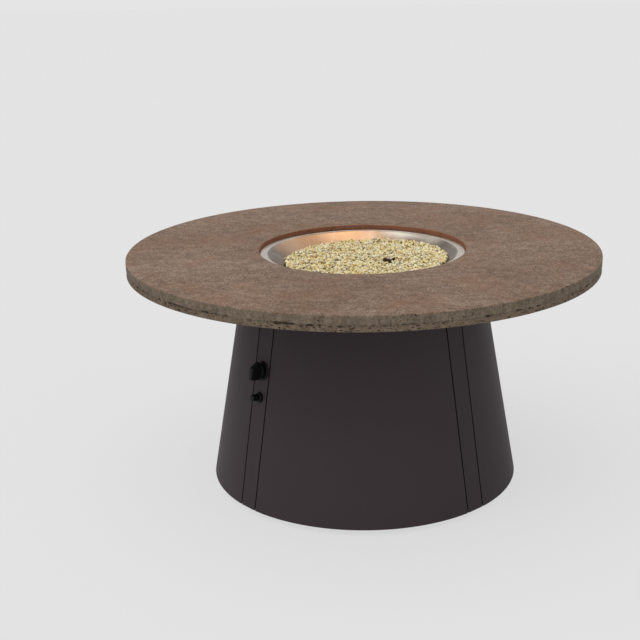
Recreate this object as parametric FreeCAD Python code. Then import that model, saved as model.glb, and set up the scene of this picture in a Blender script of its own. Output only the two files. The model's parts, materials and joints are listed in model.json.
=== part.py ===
import FreeCAD, Part
import math
import os
import random

from FreeCAD import Vector

# Round gas fire pit table. Millimetres. The origin is the centre of the footprint
# on the ground, +Z is up and the middle of the front panel faces -Y. An azimuth is
# counted in degrees from the front (-Y) towards the right (+X).

# Stone table top
table_diameter = 1219.2
overall_height = 622.3
slab_thickness = 38.1
slab_edge_round = 2.5
hole_diameter = 536.0
hole_edge_round = 1.5
rebate_depth = 11.0
ledge_width = 12.0

# Conical skirt
base_diameter = 812.8
skirt_top_diameter = 614.0
floor_clearance = 15.9
sheet = 1.6
bend_round = 1.3
seam_gap = 2.0
skin_reveal = 0.4

# Folded posts between the panels
post_azimuths = [-45, 45, 135, 225]
control_azimuth = -45
post_width = 52.0
post_flange_width = 18.0
post_tab_thickness = 3.0
fit_gap = 0.3

# Panel edges
panel_return_depth = 20.0
panel_lip_width = 15.0
door_clearance = 0.5

# Finger slot of the access door
finger_slot_width = 90.0
finger_slot_height = 24.0
finger_slot_below_slab = 64.0

# Frame rings
ring_thickness = 3.0
ring_lip_height = 18.0
ring_side_gap = 0.6
base_plate_recess = 6.0
base_ring_width = 82.0
top_ring_width = 40.0

# Rubber pads under the slab
pad_count = 8
pad_diameter = 22.0
pad_thickness = 2.0

# Frame bolts, hexagon head
frame_bolt_diameter = 6.0
frame_bolt_across_flats = 10.0
frame_bolt_head = 4.0
frame_bolt_depth = 11.0

# Panel screws, pan head
panel_screw_diameter = 4.0
panel_screw_head_diameter = 8.0
panel_screw_head_height = 2.4
panel_screw_reach = 2.5
panel_screws_per_edge = 3
panel_screw_end_margin = 90.0
hole_clearance = 0.25

# Magnetic catches of the access door
magnet_width = 9.0
magnet_length = 26.0
magnet_depth = 5.0
magnet_border = 2.0
magnets_per_edge = 2
magnet_end_margin = 130.0

# Levelling feet
foot_set_back = 56.0
foot_pad_diameter = 36.0
foot_pad_height = 8.0
foot_stud_diameter = 10.0
foot_stud_top = 62.0
foot_across_flats = 17.0
foot_nut_height = 8.0
thread_clearance = 0.06

# Burner bowl
bowl_opening_diameter = 496.0
bowl_flat_diameter = 210.0
bowl_depth = 65.0
bowl_sheet = 1.2
bowl_flange_gap = 2.0
weep_hole_diameter = 6.0
weep_hole_circle = 80.0
weep_hole_count = 4

# Burner
burner_circle_diameter = 124.0
burner_channel_width = 16.0
burner_channel_height = 14.0
burner_channel_bevel = 2.5
burner_bar_width = 14.0
burner_height = 26.0
burner_hub_diameter = 28.0
burner_nipple_diameter = 20.0
burner_nipple_drop = 18.0
jet_count = 16
jet_diameter = 2.4
locknut_across_flats = 32.0
locknut_height = 6.0

# Air mixer and elbow
mixer_diameter = 30.0
mixer_length = 40.0
mixer_socket_depth = 10.0
mixer_throat_diameter = 12.0
mixer_air_hole_diameter = 8.0
mixer_air_hole_count = 4
elbow_diameter = 18.0
elbow_drop = 12.0
elbow_reach = 24.0
elbow_spigot_diameter = 16.0
elbow_spigot_length = 8.0

# Flare fittings and the gas tube
gas_tube_diameter = 9.5
gas_tube_bend_radius = 45.0
flare_diameter = 13.0
flare_length = 10.0
flare_nut_across_flats = 17.0
flare_nut_length = 18.0
inlet_elbow_diameter = 16.0
inlet_elbow_reach = 12.0
inlet_elbow_drop = 10.0
inlet_hex_across_flats = 19.0
inlet_hex_length = 8.0
inlet_flare_diameter = 15.88
inlet_flare_length = 16.0
inlet_bore_diameter = 8.0

# Gas valve behind the control post
knob_below_slab = 216.0
valve_diameter = 32.0
valve_length = 46.0
valve_neck_diameter = 16.0
valve_neck_length = 14.0
valve_nut_across_flats = 24.0
valve_nut_height = 5.0
valve_outlet_diameter = 18.0
valve_outlet_reach = 24.0
valve_inlet_diameter = 20.0
valve_inlet_reach = 24.0
valve_port_depth = 24.0
valve_rear_boss_diameter = 12.0
valve_rear_boss_length = 8.0
plunger_diameter = 12.0
plunger_length = 6.0
plunger_cavity_start = 14.0
plunger_cavity_length = 18.0
plunger_set_back = 3.0
stem_diameter = 6.0
stem_flat = 2.2
stem_proud = 27.0
bracket_thickness = 2.5
bracket_height = 60.0
bracket_screw_spacing = 40.0

# Control knob and its bezel
bezel_diameter = 48.0
bezel_thickness = 5.0
bezel_hole_diameter = 18.0
knob_travel = 3.0
knob_skirt_diameter = 40.0
knob_skirt_thickness = 6.0
knob_projection = 37.0
knob_grip_width = 12.0
knob_grip_below = 22.0
knob_grip_above = 24.0
knob_end_above = 7.5
knob_ramp_foot = 3.0
knob_edge_round = 1.2
knob_stem_fit = 0.02
knob_stem_end_room = 0.5

# Push-button spark igniter
igniter_below_knob = 67.0
igniter_collar_diameter = 26.0
igniter_collar_thickness = 8.0
igniter_barrel_diameter = 18.0
igniter_barrel_length = 58.0
igniter_nut_across_flats = 24.0
igniter_nut_height = 6.0
button_shank_diameter = 10.0
button_cap_diameter = 17.0
button_cap_length = 16.5
button_cap_gap = 2.5
button_cap_clearance = 0.4
button_travel = 8.0
button_seat_room = 0.5
button_hidden_length = 8.0
button_end_room = 2.0
button_cap_round = 3.0
button_groove_below_end = 6.0
button_groove_width = 2.0
button_groove_depth = 1.2

# Pilot hood with spark electrode and thermocouple
pilot_azimuth = 56.0
pilot_radius = 87.0
pilot_foot_width = 32.0
pilot_foot_length = 20.0
pilot_sheet = 1.2
hood_diameter = 28.0
hood_length = 24.0
hood_side = 6.0
hood_top_above_glass = 8.0
probe_spacing = 10.0
electrode_diameter = 5.0
electrode_wire_diameter = 1.6
electrode_below_bowl = 20.0
thermocouple_diameter = 4.0
thermocouple_below_bowl = 16.0
probe_below_hood = 12.0
probe_tip_length = 6.0

# Leads
spark_lead_diameter = 5.0
thermocouple_lead_diameter = 2.5

# Fire glass bed
glass_edge_diameter = 428.0
glass_mound = 8.0
glass_relief = 5.0
glass_lump = 24.0
glass_lump_shift = 4.0
glass_heap_sides = 6
glass_seed = 3
glass_gap = 0.4
burner_pocket = 1.0

# Levels and shapes that follow from the sizes above
slab_bottom = overall_height - slab_thickness
top_ring_top = slab_bottom - pad_thickness
top_ring_bottom = top_ring_top - ring_thickness
base_plate_bottom = floor_clearance + base_plate_recess
base_plate_top = base_plate_bottom + ring_thickness
skin_top = top_ring_top - skin_reveal
knob_height = slab_bottom - knob_below_slab
igniter_height = knob_height - igniter_below_knob
skirt_slope = (base_diameter - skirt_top_diameter) / 2 / (slab_bottom - floor_clearance)
lean = math.degrees(math.atan(skirt_slope))
lean_cosine = math.cos(math.radians(lean))
mean_skirt_radius = (base_diameter + skirt_top_diameter) / 4
post_face_inset = (post_width / 2) ** 2 / 2 / mean_skirt_radius
flange_depth = panel_return_depth + fit_gap
post_depth = flange_depth + sheet
lip_centre = post_width / 2 + seam_gap + panel_lip_width / 2
ledge_z = overall_height - rebate_depth
bowl_floor_z = ledge_z - bowl_depth
bowl_floor_top = bowl_floor_z + bowl_sheet
burner_z = bowl_floor_top + burner_height
mixer_top = bowl_floor_z - burner_nipple_drop + mixer_socket_depth
mixer_bottom = mixer_top - mixer_length
elbow_z = mixer_bottom - elbow_drop
bracket_back = post_depth + bracket_thickness
valve_rear = bracket_back + valve_length
valve_port = bracket_back + valve_port_depth
button_cap_start = igniter_collar_thickness + button_cap_gap
reach = table_diameter


def skirt_radius(z):
    return base_diameter / 2 - (z - floor_clearance) * skirt_slope


def post_face_radius(z):
    return skirt_radius(z) - post_face_inset


def edge_heights(count, end_margin):
    # evenly spaced up the edge of a panel
    low = floor_clearance + end_margin
    high = slab_bottom - end_margin
    return [low + (high - low) * index / (count - 1) for index in range(count)]


# Helpers for placing and trimming
def turned(shape, azimuth):
    copy = shape.copy()
    copy.rotate(Vector(), Vector(0, 0, 1), azimuth)
    return copy


def on_slope(shape, height):
    # x runs across the post, y up its slope and z outward from its face
    copy = shape.copy()
    copy.rotate(Vector(), Vector(1, 0, 0), 90 - lean)
    copy.translate(Vector(0, -post_face_radius(height), height))
    return copy


def on_post(shape, height, azimuth=control_azimuth):
    return turned(on_slope(shape, height), azimuth)


def post_point(x, y, outward, height, azimuth=control_azimuth):
    vertex = on_post(Part.Vertex(x, y, outward), height, azimuth)
    return vertex.Point


def polar_point(radius, azimuth, z):
    angle = math.radians(azimuth)
    return Vector(radius * math.sin(angle), -radius * math.cos(angle), z)


def level_slab(z_low, z_high):
    corner = Vector(-reach, -reach, z_low)
    return Part.makeBox(2 * reach, 2 * reach, z_high - z_low, corner)


def cylinder(diameter, z_low, z_high, x=0.0, y=0.0):
    return Part.makeCylinder(diameter / 2, z_high - z_low, Vector(x, y, z_low))


def hexagon(across_flats, z_low, z_high, x=0.0, y=0.0):
    corner_radius = across_flats / math.sqrt(3)
    corners = []
    for index in range(7):
        angle = math.radians(60 * index)
        corners.append(
            Vector(x + corner_radius * math.cos(angle), y + corner_radius * math.sin(angle), z_low)
        )
    return Part.Face(Part.makePolygon(corners)).extrude(Vector(0, 0, z_high - z_low))


def revolved(edges):
    profile = Part.Face(Part.Wire(edges))
    return profile.revolve(Vector(), Vector(0, 0, 1), 360)


def profile_edges(points):
    corners = [Vector(radius, 0, z) for radius, z in points]
    return [Part.makeLine(a, b) for a, b in zip(corners, corners[1:])]


def revolved_outline(points):
    return revolved(profile_edges(points + points[:1]))


def level_edges(shape, radius, z):
    # full circles about the z axis
    edges = []
    for edge in shape.Edges:
        box = edge.BoundBox
        if box.ZLength < 0.01 and abs(box.ZMax - z) < 0.01 and abs(box.XMax - radius) < 0.01:
            edges.append(edge)
    return edges


def single(shape):
    merged = shape.removeSplitter()
    if len(merged.Solids) == 1:
        return merged.Solids[0]
    return merged


def skirt_cone(depth, z_low, z_high):
    inset = depth / lean_cosine
    cone = Part.makeCone(
        skirt_radius(z_low) - inset, skirt_radius(z_high) - inset, z_high - z_low, Vector(0, 0, z_low)
    )
    return turned(cone, 45)


def skirt_band(outer_depth, inner_depth, z_low, z_high):
    return skirt_cone(outer_depth, z_low, z_high).cut(skirt_cone(inner_depth, z_low, z_high))


def slope_plate(x_low, x_high, depth_low, depth_high, z_low, z_high):
    width = x_high - x_low
    corner = Vector(x_low, -reach, -depth_high)
    plate = Part.makeBox(width, 2 * reach, depth_high - depth_low, corner)
    middle = (slab_bottom + floor_clearance) / 2
    return on_slope(plate, middle).common(level_slab(z_low, z_high))


def quarter_sector(inset, z_low, z_high):
    # the space between two posts, its sides parallel to their middle planes
    apex = -inset * math.sqrt(2)
    corners = [
        Vector(0, apex, z_low),
        Vector(-reach, apex - reach, z_low),
        Vector(reach, apex - reach, z_low),
        Vector(0, apex, z_low),
    ]
    return Part.Face(Part.makePolygon(corners)).extrude(Vector(0, 0, z_high - z_low))


def tangent_tube(points, diameter, bend_radius=None):
    # straight runs joined by tangent arcs
    edges = []
    start = points[0]
    for before, corner, after in zip(points, points[1:], points[2:]):
        run_in = corner.sub(before)
        run_out = after.sub(corner)
        half_turn = run_in.getAngle(run_out) / 2
        radius = bend_radius
        if radius is None:
            radius = 0.45 * min(run_in.Length, run_out.Length) / math.tan(half_turn)
        setback = radius * math.tan(half_turn)
        towards = Vector(run_in).normalize()
        away = Vector(run_out).normalize()
        arc_start = corner.sub(towards * setback)
        arc_end = corner.add(away * setback)
        inward = away.sub(towards).normalize()
        centre_distance = radius / math.cos(half_turn)
        arc_middle = corner.add(inward * (centre_distance - radius))
        edges.append(Part.makeLine(start, arc_start))
        edges.append(Part.Arc(arc_start, arc_middle, arc_end).toShape())
        start = arc_end
        if bend_radius is None:
            print("lead bend radius", round(radius, 1), "for diameter", diameter)
    edges.append(Part.makeLine(start, points[-1]))
    path = Part.Wire(edges)
    direction = points[1].sub(points[0])
    section = Part.Wire(Part.makeCircle(diameter / 2, points[0], direction))
    tube = path.makePipeShell([section], True, True)
    expected = math.pi * diameter ** 2 / 4 * path.Length
    print("tube volume over section times length", round(tube.Volume / expected, 4))
    return tube


# Stone table top
def stone_top():
    outer = table_diameter / 2
    hole = hole_diameter / 2
    ledge = hole - ledge_width
    points = [
        (ledge, slab_bottom),
        (outer, slab_bottom),
        (outer, overall_height),
        (hole, overall_height),
        (hole, ledge_z),
        (ledge, ledge_z),
    ]
    slab = revolved_outline(points)
    rim = level_edges(slab, outer, overall_height) + level_edges(slab, outer, slab_bottom)
    slab = slab.makeFillet(slab_edge_round, rim)
    return slab.makeFillet(hole_edge_round, level_edges(slab, hole, overall_height))


def stone_pads():
    radius = frame_ring_outer(top_ring_top) - top_ring_width / 2
    pads = []
    for index in range(pad_count):
        azimuth = 360 / pad_count * (index + 0.5)
        place = polar_point(radius, azimuth, top_ring_top)
        pads.append(cylinder(pad_diameter, top_ring_top, slab_bottom, place.x, place.y))
    return Part.makeCompound(pads)


# Frame rings
def frame_ring_outer(z):
    return post_face_radius(z) - sheet / lean_cosine - ring_side_gap


def frame_bolt_radius(z):
    return post_face_radius(z) - frame_bolt_depth / lean_cosine


def foot_place(azimuth):
    return polar_point(frame_ring_outer(base_plate_top) - foot_set_back, azimuth, 0)


def top_ring():
    outer = frame_ring_outer(top_ring_top)
    inner = outer - top_ring_width
    points = [
        (inner, top_ring_top),
        (outer, top_ring_top),
        (outer, top_ring_bottom),
        (inner + ring_thickness, top_ring_bottom),
        (inner + ring_thickness, top_ring_bottom - ring_lip_height),
        (inner, top_ring_bottom - ring_lip_height),
    ]
    ring = revolved_outline(points)
    for azimuth in post_azimuths:
        place = polar_point(frame_bolt_radius(top_ring_bottom), azimuth, 0)
        ring = ring.cut(cylinder(frame_bolt_hole(), top_ring_bottom - 1, top_ring_top + 1, place.x, place.y))
    return ring


def base_ring():
    outer = frame_ring_outer(base_plate_top)
    inner = outer - base_ring_width
    points = [
        (inner, base_plate_bottom),
        (outer, base_plate_bottom),
        (outer, base_plate_top),
        (inner + ring_thickness, base_plate_top),
        (inner + ring_thickness, base_plate_top + ring_lip_height),
        (inner, base_plate_top + ring_lip_height),
    ]
    ring = revolved_outline(points)
    low = base_plate_bottom - 1
    high = base_plate_top + 1
    stud_hole = foot_stud_diameter + 2 * hole_clearance
    for azimuth in post_azimuths:
        bolt = polar_point(frame_bolt_radius(base_plate_top), azimuth, 0)
        foot = foot_place(azimuth)
        ring = ring.cut(cylinder(frame_bolt_hole(), low, high, bolt.x, bolt.y))
        ring = ring.cut(cylinder(stud_hole, low, high, foot.x, foot.y))
    return ring


def frame_bolt_hole():
    return frame_bolt_diameter + 2 * hole_clearance


def frame_bolts():
    bolts = []
    for azimuth in post_azimuths:
        low = polar_point(frame_bolt_radius(base_plate_top), azimuth, 0)
        seat = base_plate_top + post_tab_thickness
        shank = cylinder(frame_bolt_diameter, base_plate_bottom, seat, low.x, low.y)
        head = hexagon(frame_bolt_across_flats, seat, seat + frame_bolt_head, low.x, low.y)
        bolts.append(shank.fuse(head))
        high = polar_point(frame_bolt_radius(top_ring_bottom), azimuth, 0)
        seat = top_ring_bottom - post_tab_thickness
        shank = cylinder(frame_bolt_diameter, seat, top_ring_top, high.x, high.y)
        head = hexagon(frame_bolt_across_flats, seat - frame_bolt_head, seat, high.x, high.y)
        bolts.append(shank.fuse(head))
    return Part.makeCompound([single(bolt) for bolt in bolts])


# Folded posts
def post_channel():
    half = post_width / 2
    low = base_plate_top
    high = top_ring_bottom
    channel = slope_plate(-half, half, 0, sheet, floor_clearance, skin_top)
    for side in (-1, 1):
        edges = sorted((side * half, side * (half - sheet)))
        channel = channel.fuse(slope_plate(edges[0], edges[1], 0, post_depth, low, high))
        edges = sorted((side * (half - sheet), side * (half + post_flange_width)))
        channel = channel.fuse(slope_plate(edges[0], edges[1], flange_depth, post_depth, low, high))
    tab_low = slope_plate(sheet - half, half - sheet, sheet, post_depth, low, low + post_tab_thickness)
    tab_high = slope_plate(sheet - half, half - sheet, sheet, post_depth, high - post_tab_thickness, high)
    channel = single(channel.fuse([tab_low, tab_high]))
    front_edges = [
        edge
        for edge in channel.Edges
        if edge.BoundBox.ZLength > skin_top - floor_clearance - 1
        and abs(abs(edge.BoundBox.Center.x) - half) < 0.01
    ]
    channel = channel.makeFillet(bend_round, front_edges)
    for z in (base_plate_top, top_ring_bottom):
        place = polar_point(frame_bolt_radius(z), 0, 0)
        channel = channel.cut(cylinder(frame_bolt_hole(), z - 10, z + 10, place.x, place.y))
    return channel


def panel_sides(azimuth):
    # which sides of a post carry a screwed panel; the door closes the rest
    if azimuth == 135:
        return [-1]
    if azimuth == 225:
        return [1]
    return [-1, 1]


def door_sides(azimuth):
    return [side for side in (-1, 1) if side not in panel_sides(azimuth)]


def panel_screw_seats():
    seats = []
    for azimuth in post_azimuths:
        for side in panel_sides(azimuth):
            for height in edge_heights(panel_screws_per_edge, panel_screw_end_margin):
                seats.append((azimuth, side * lip_centre, height))
    return seats


def bracket_screw_seats():
    seats = []
    for side in (-1, 1):
        for step in (-1, 1):
            height = knob_height + step * bracket_screw_spacing / 2 * lean_cosine
            seats.append((control_azimuth, side * lip_centre, height))
    return seats


def screw_holes(seats):
    diameter = panel_screw_diameter + 2 * hole_clearance
    low = -bracket_back - 1
    high = -panel_return_depth + sheet + 1
    holes = [on_post(cylinder(diameter, low, high, x), height, azimuth) for azimuth, x, height in seats]
    return Part.makeCompound(holes)


def pan_screws(seats, head_seat):
    screws = []
    for azimuth, x, height in seats:
        end = -panel_return_depth + sheet + panel_screw_reach
        shank = cylinder(panel_screw_diameter, -head_seat, end, x)
        radius = panel_screw_head_diameter / 2
        head = Part.makeCone(
            radius,
            radius - panel_screw_head_height / 2,
            panel_screw_head_height,
            Vector(x, 0, -head_seat),
            Vector(0, 0, -1),
        )
        screws.append(on_post(single(shank.fuse(head)), height, azimuth))
    return Part.makeCompound(screws)


def magnet_seats():
    seats = []
    for azimuth in post_azimuths:
        for side in door_sides(azimuth):
            for height in edge_heights(magnets_per_edge, magnet_end_margin):
                seats.append((azimuth, side * lip_centre, height))
    return seats


def magnet_block(extra):
    half_width = magnet_width / 2 + extra
    half_length = magnet_length / 2 + extra
    corner = Vector(-half_width, -half_length, -flange_depth - magnet_depth)
    return Part.makeBox(2 * half_width, 2 * half_length, magnet_depth, corner)


def magnet_catches():
    catches = []
    for azimuth, x, height in magnet_seats():
        core = magnet_block(0)
        half_width = magnet_width / 2 + magnet_border
        half_length = magnet_length / 2 + magnet_border
        corner = Vector(-half_width, -half_length, -flange_depth - magnet_depth)
        back = Part.makeBox(2 * half_width, 2 * half_length, magnet_depth - sheet, corner)
        catch = single(core.fuse(back))
        catch.translate(Vector(x, 0, 0))
        catches.append(on_post(catch, height, azimuth))
    return Part.makeCompound(catches)


def post(azimuth):
    shape = turned(post_channel(), azimuth)
    shape = shape.cut(screw_holes([seat for seat in panel_screw_seats() if seat[0] == azimuth]))
    for seat_azimuth, x, height in magnet_seats():
        if seat_azimuth == azimuth:
            window = magnet_block(hole_clearance)
            window.translate(Vector(x, 0, 0))
            shape = shape.cut(on_post(window, height, azimuth))
    if azimuth == control_azimuth:
        shape = shape.cut(screw_holes(bracket_screw_seats()))
        shape = shape.cut(on_post(cylinder(bezel_hole_diameter, -post_depth / 2, 1), knob_height))
        barrel = igniter_barrel_diameter + 2 * hole_clearance
        shape = shape.cut(on_post(cylinder(barrel, -post_depth / 2, 1), igniter_height))
    return shape


# Curved panels
def panel_blank(bottom, top):
    inset = post_width / 2 + seam_gap
    skin = skirt_band(0, sheet, floor_clearance, skin_top)
    skin = skin.common(quarter_sector(inset, floor_clearance, skin_top))
    returns = []
    for side in (-1, 1):
        # the edges fold inward beside a post, then back as a lip in front of its flange
        edges = sorted((-side * inset, -side * (inset + sheet)))
        web = slope_plate(edges[0], edges[1], sheet / 2, panel_return_depth, bottom, top)
        edges = sorted((-side * inset, -side * (inset + panel_lip_width)))
        lip = slope_plate(
            edges[0], edges[1], panel_return_depth - sheet, panel_return_depth, bottom, top
        )
        returns.append(turned(web.fuse(lip), side * 45))
    panel = single(skin.fuse(returns))
    fold_edges = []
    for edge in panel.Edges:
        ends = [vertex.Point for vertex in edge.Vertexes]
        full_length = edge.BoundBox.ZLength > skin_top - floor_clearance - 1
        on_face = all(abs(math.hypot(p.x, p.y) - skirt_radius(p.z)) < 0.05 for p in ends)
        if full_length and on_face:
            fold_edges.append(edge)
    return panel.makeFillet(bend_round, fold_edges)


def fixed_panel(azimuth):
    panel = turned(panel_blank(base_plate_top, top_ring_bottom), azimuth)
    return panel.cut(screw_holes(panel_screw_seats() + bracket_screw_seats()))


def access_door():
    door = panel_blank(base_plate_top + door_clearance, top_ring_bottom - door_clearance)
    straight = finger_slot_width - finger_slot_height
    corner = Vector(-straight / 2, -finger_slot_height / 2, 0)
    slot = Part.makeBox(straight, finger_slot_height, reach, corner)
    for side in (-1, 1):
        slot = slot.fuse(cylinder(finger_slot_height, 0, reach, side * straight / 2))
    slot.rotate(Vector(), Vector(1, 0, 0), 90)
    slot.translate(Vector(0, 0, slab_bottom - finger_slot_below_slab))
    return turned(door.cut(single(slot)), 180)


# Levelling feet
def levelling_foot(azimuth):
    place = foot_place(azimuth)
    radius = foot_pad_diameter / 2
    taper = foot_pad_height / 2
    rim = Part.makeCylinder(radius, foot_pad_height - taper, place)
    crown = Part.makeCone(radius, radius - taper, taper, place.add(Vector(0, 0, foot_pad_height - taper)))
    collar_top = base_plate_bottom - fit_gap
    collar = hexagon(foot_across_flats, foot_pad_height, collar_top, place.x, place.y)
    stud = cylinder(foot_stud_diameter, foot_pad_height, foot_stud_top, place.x, place.y)
    return single(rim.fuse([crown, collar, stud]))


def foot_nuts():
    nuts = []
    for azimuth in post_azimuths:
        place = foot_place(azimuth)
        top = base_plate_top + foot_nut_height
        nut = hexagon(foot_across_flats, base_plate_top, top, place.x, place.y)
        bore = foot_stud_diameter + 2 * thread_clearance
        nuts.append(nut.cut(cylinder(bore, base_plate_top - 1, top + 1, place.x, place.y)))
    return Part.makeCompound(nuts)


# Burner bowl, a spun dish that hangs by its flange in the slab's rebate
def bowl_sphere():
    opening = bowl_opening_diameter / 2
    flat = bowl_flat_diameter / 2
    drop_sum = (opening ** 2 - flat ** 2) / bowl_depth
    floor_drop = (drop_sum + bowl_depth) / 2
    return math.hypot(floor_drop, flat), bowl_floor_z + floor_drop


def dish_arc(offset, z_start, z_end):
    radius, centre_z = bowl_sphere()
    inner = radius - offset

    def point(z):
        return Vector(math.sqrt(inner ** 2 - (centre_z - z) ** 2), 0, z)

    return Part.Arc(point(z_start), point((z_start + z_end) / 2), point(z_end)).toShape()


def burner_bowl():
    flange = hole_diameter / 2 - bowl_flange_gap
    outer = dish_arc(0, bowl_floor_z, ledge_z)
    inner = dish_arc(bowl_sheet, ledge_z + bowl_sheet, bowl_floor_top)
    lip = [
        outer.Vertexes[-1].Point,
        Vector(flange, 0, ledge_z),
        Vector(flange, 0, ledge_z + bowl_sheet),
        inner.Vertexes[0].Point,
    ]
    floor = [
        inner.Vertexes[-1].Point,
        Vector(0, 0, bowl_floor_top),
        Vector(0, 0, bowl_floor_z),
        outer.Vertexes[0].Point,
    ]
    edges = [outer]
    edges += [Part.makeLine(a, b) for a, b in zip(lip, lip[1:])]
    edges.append(inner)
    edges += [Part.makeLine(a, b) for a, b in zip(floor, floor[1:])]
    bowl = revolved(edges)
    low = bowl_floor_z - 1
    high = bowl_floor_top + 1
    holes = [cylinder(burner_nipple_diameter + 2 * hole_clearance, low, high)]
    for index in range(weep_hole_count):
        place = polar_point(weep_hole_circle / 2, 360 / weep_hole_count * (index + 0.5), 0)
        holes.append(cylinder(weep_hole_diameter, low, high, place.x, place.y))
    holes += probe_holes(low, high)
    return bowl.cut(holes)


# Ring burner, a pressed channel with a cross bar and a hub
def burner_solid(extra):
    middle = burner_circle_diameter / 2
    half_width = burner_channel_width / 2 + extra
    half_height = burner_channel_height / 2 + extra
    low = burner_z - half_height
    high = burner_z + half_height
    points = [
        (middle - half_width, low),
        (middle + half_width, low),
        (middle + half_width, high - burner_channel_bevel),
        (middle + half_width - burner_channel_bevel, high),
        (middle - half_width + burner_channel_bevel, high),
        (middle - half_width, high - burner_channel_bevel),
    ]
    ring = revolved_outline(points)
    half_bar = burner_bar_width / 2 + extra
    bar = Part.makeBox(
        2 * middle, 2 * half_bar, 2 * half_height - burner_channel_bevel, Vector(-middle, -half_bar, low)
    )
    hub = cylinder(burner_hub_diameter + 2 * extra, bowl_floor_top, high)
    return ring.fuse([bar, hub])


def burner_ring():
    nipple = cylinder(burner_nipple_diameter, bowl_floor_z - burner_nipple_drop, bowl_floor_top)
    burner = single(burner_solid(0).fuse(nipple))
    jets = []
    for index in range(jet_count):
        azimuth = 360 / jet_count * (index + 0.5)
        place = polar_point(burner_circle_diameter / 2, azimuth, 0)
        jets.append(cylinder(jet_diameter, burner_z, burner_z + burner_channel_height, place.x, place.y))
    return burner.cut(jets)


def burner_locknut():
    low = bowl_floor_z - locknut_height
    nut = hexagon(locknut_across_flats, low, bowl_floor_z)
    bore = burner_nipple_diameter + 2 * thread_clearance
    return nut.cut(cylinder(bore, low - 1, bowl_floor_z + 1))


def air_mixer():
    body = cylinder(mixer_diameter, mixer_bottom, mixer_top)
    socket_floor = mixer_top - mixer_socket_depth
    socket = cylinder(burner_nipple_diameter + 2 * thread_clearance, socket_floor, mixer_top + 1)
    throat = cylinder(mixer_throat_diameter, mixer_bottom + 1, mixer_top)
    spigot = cylinder(
        elbow_spigot_diameter + 2 * thread_clearance, mixer_bottom - 1, mixer_bottom + elbow_spigot_length
    )
    body = body.cut([socket, throat, spigot])
    middle = (mixer_bottom + elbow_spigot_length + socket_floor) / 2
    for index in range(mixer_air_hole_count):
        hole = Part.makeCylinder(
            mixer_air_hole_diameter / 2, mixer_diameter, Vector(0, 0, middle), Vector(0, -1, 0)
        )
        body = body.cut(turned(hole, 360 / mixer_air_hole_count * index))
    return body


def gas_elbow():
    # drawn towards the front, then turned towards the control post
    spigot = cylinder(elbow_spigot_diameter, mixer_bottom, mixer_bottom + elbow_spigot_length)
    upright = cylinder(elbow_diameter, elbow_z, mixer_bottom)
    corner = Part.makeSphere(elbow_diameter / 2, Vector(0, 0, elbow_z))
    arm = Part.makeCylinder(elbow_diameter / 2, elbow_reach, Vector(0, 0, elbow_z), Vector(0, -1, 0))
    flare = Part.makeCylinder(
        flare_diameter / 2, flare_length, Vector(0, -elbow_reach, elbow_z), Vector(0, -1, 0)
    )
    return turned(single(spigot.fuse([upright, corner, arm, flare])), control_azimuth)


# Gas tube between the valve's outlet and the elbow
def valve_outlet_point(distance):
    return post_point(0, distance, -valve_port, knob_height)


def elbow_point(distance):
    return polar_point(distance, control_azimuth, elbow_z)


def gas_tube():
    valve_end = valve_outlet_point(valve_outlet_reach + flare_length)
    up_slope = valve_outlet_point(1).sub(valve_outlet_point(0))
    rise = (elbow_z - valve_end.z) / up_slope.z
    corner = valve_end.add(up_slope * rise)
    points = [elbow_point(elbow_reach + flare_length), corner, valve_end]
    return tangent_tube(points, gas_tube_diameter, gas_tube_bend_radius)


def flare_nut():
    # its socket end is at z 0
    nut = hexagon(flare_nut_across_flats, 0, flare_nut_length)
    socket = cylinder(flare_diameter + 2 * thread_clearance, -1, flare_length)
    bore = cylinder(gas_tube_diameter + 2 * thread_clearance, 0, flare_nut_length + 1)
    return nut.cut([socket, bore])


def flare_nuts():
    at_elbow = flare_nut()
    at_elbow.rotate(Vector(), Vector(1, 0, 0), 90)
    at_elbow.translate(Vector(0, -elbow_reach, elbow_z))
    at_valve = flare_nut()
    at_valve.rotate(Vector(), Vector(1, 0, 0), -90)
    at_valve.translate(Vector(0, valve_outlet_reach, -valve_port))
    return Part.makeCompound([turned(at_elbow, control_azimuth), on_post(at_valve, knob_height)])


# Gas valve, drawn with z outward from the post's face
def gas_valve():
    body = cylinder(valve_diameter, -valve_rear, -bracket_back)
    neck = cylinder(valve_neck_diameter, -bracket_back, -bracket_back + valve_neck_length)
    rear = cylinder(valve_rear_boss_diameter, -valve_rear - valve_rear_boss_length, -valve_rear)
    origin = Vector(0, 0, -valve_port)
    outlet = Part.makeCylinder(valve_outlet_diameter / 2, valve_outlet_reach, origin, Vector(0, 1, 0))
    flare = Part.makeCylinder(
        flare_diameter / 2, flare_length, Vector(0, valve_outlet_reach, -valve_port), Vector(0, 1, 0)
    )
    inlet = Part.makeCylinder(valve_inlet_diameter / 2, valve_inlet_reach, origin, Vector(-1, 0, 0))
    valve = single(body.fuse([neck, rear, outlet, flare, inlet]))
    cavity_top = -bracket_back - plunger_cavity_start
    cavity = cylinder(
        plunger_diameter + 2 * thread_clearance, cavity_top - plunger_cavity_length, cavity_top
    )
    bore = cylinder(stem_diameter + 2 * thread_clearance, cavity_top - 1, 0)
    return on_post(valve.cut([cavity, bore]), knob_height)


def plunger_top():
    return -bracket_back - plunger_cavity_start - plunger_set_back


def valve_plunger():
    top = plunger_top()
    return on_post(cylinder(plunger_diameter, top - plunger_length, top), knob_height)


def valve_stem():
    stem = cylinder(stem_diameter, plunger_top(), stem_proud)
    flat_start = bezel_thickness + knob_travel
    corner = Vector(stem_flat, -stem_diameter, flat_start)
    flat = Part.makeBox(stem_diameter, 2 * stem_diameter, stem_proud, corner)
    return on_post(stem.cut(flat), knob_height)


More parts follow.
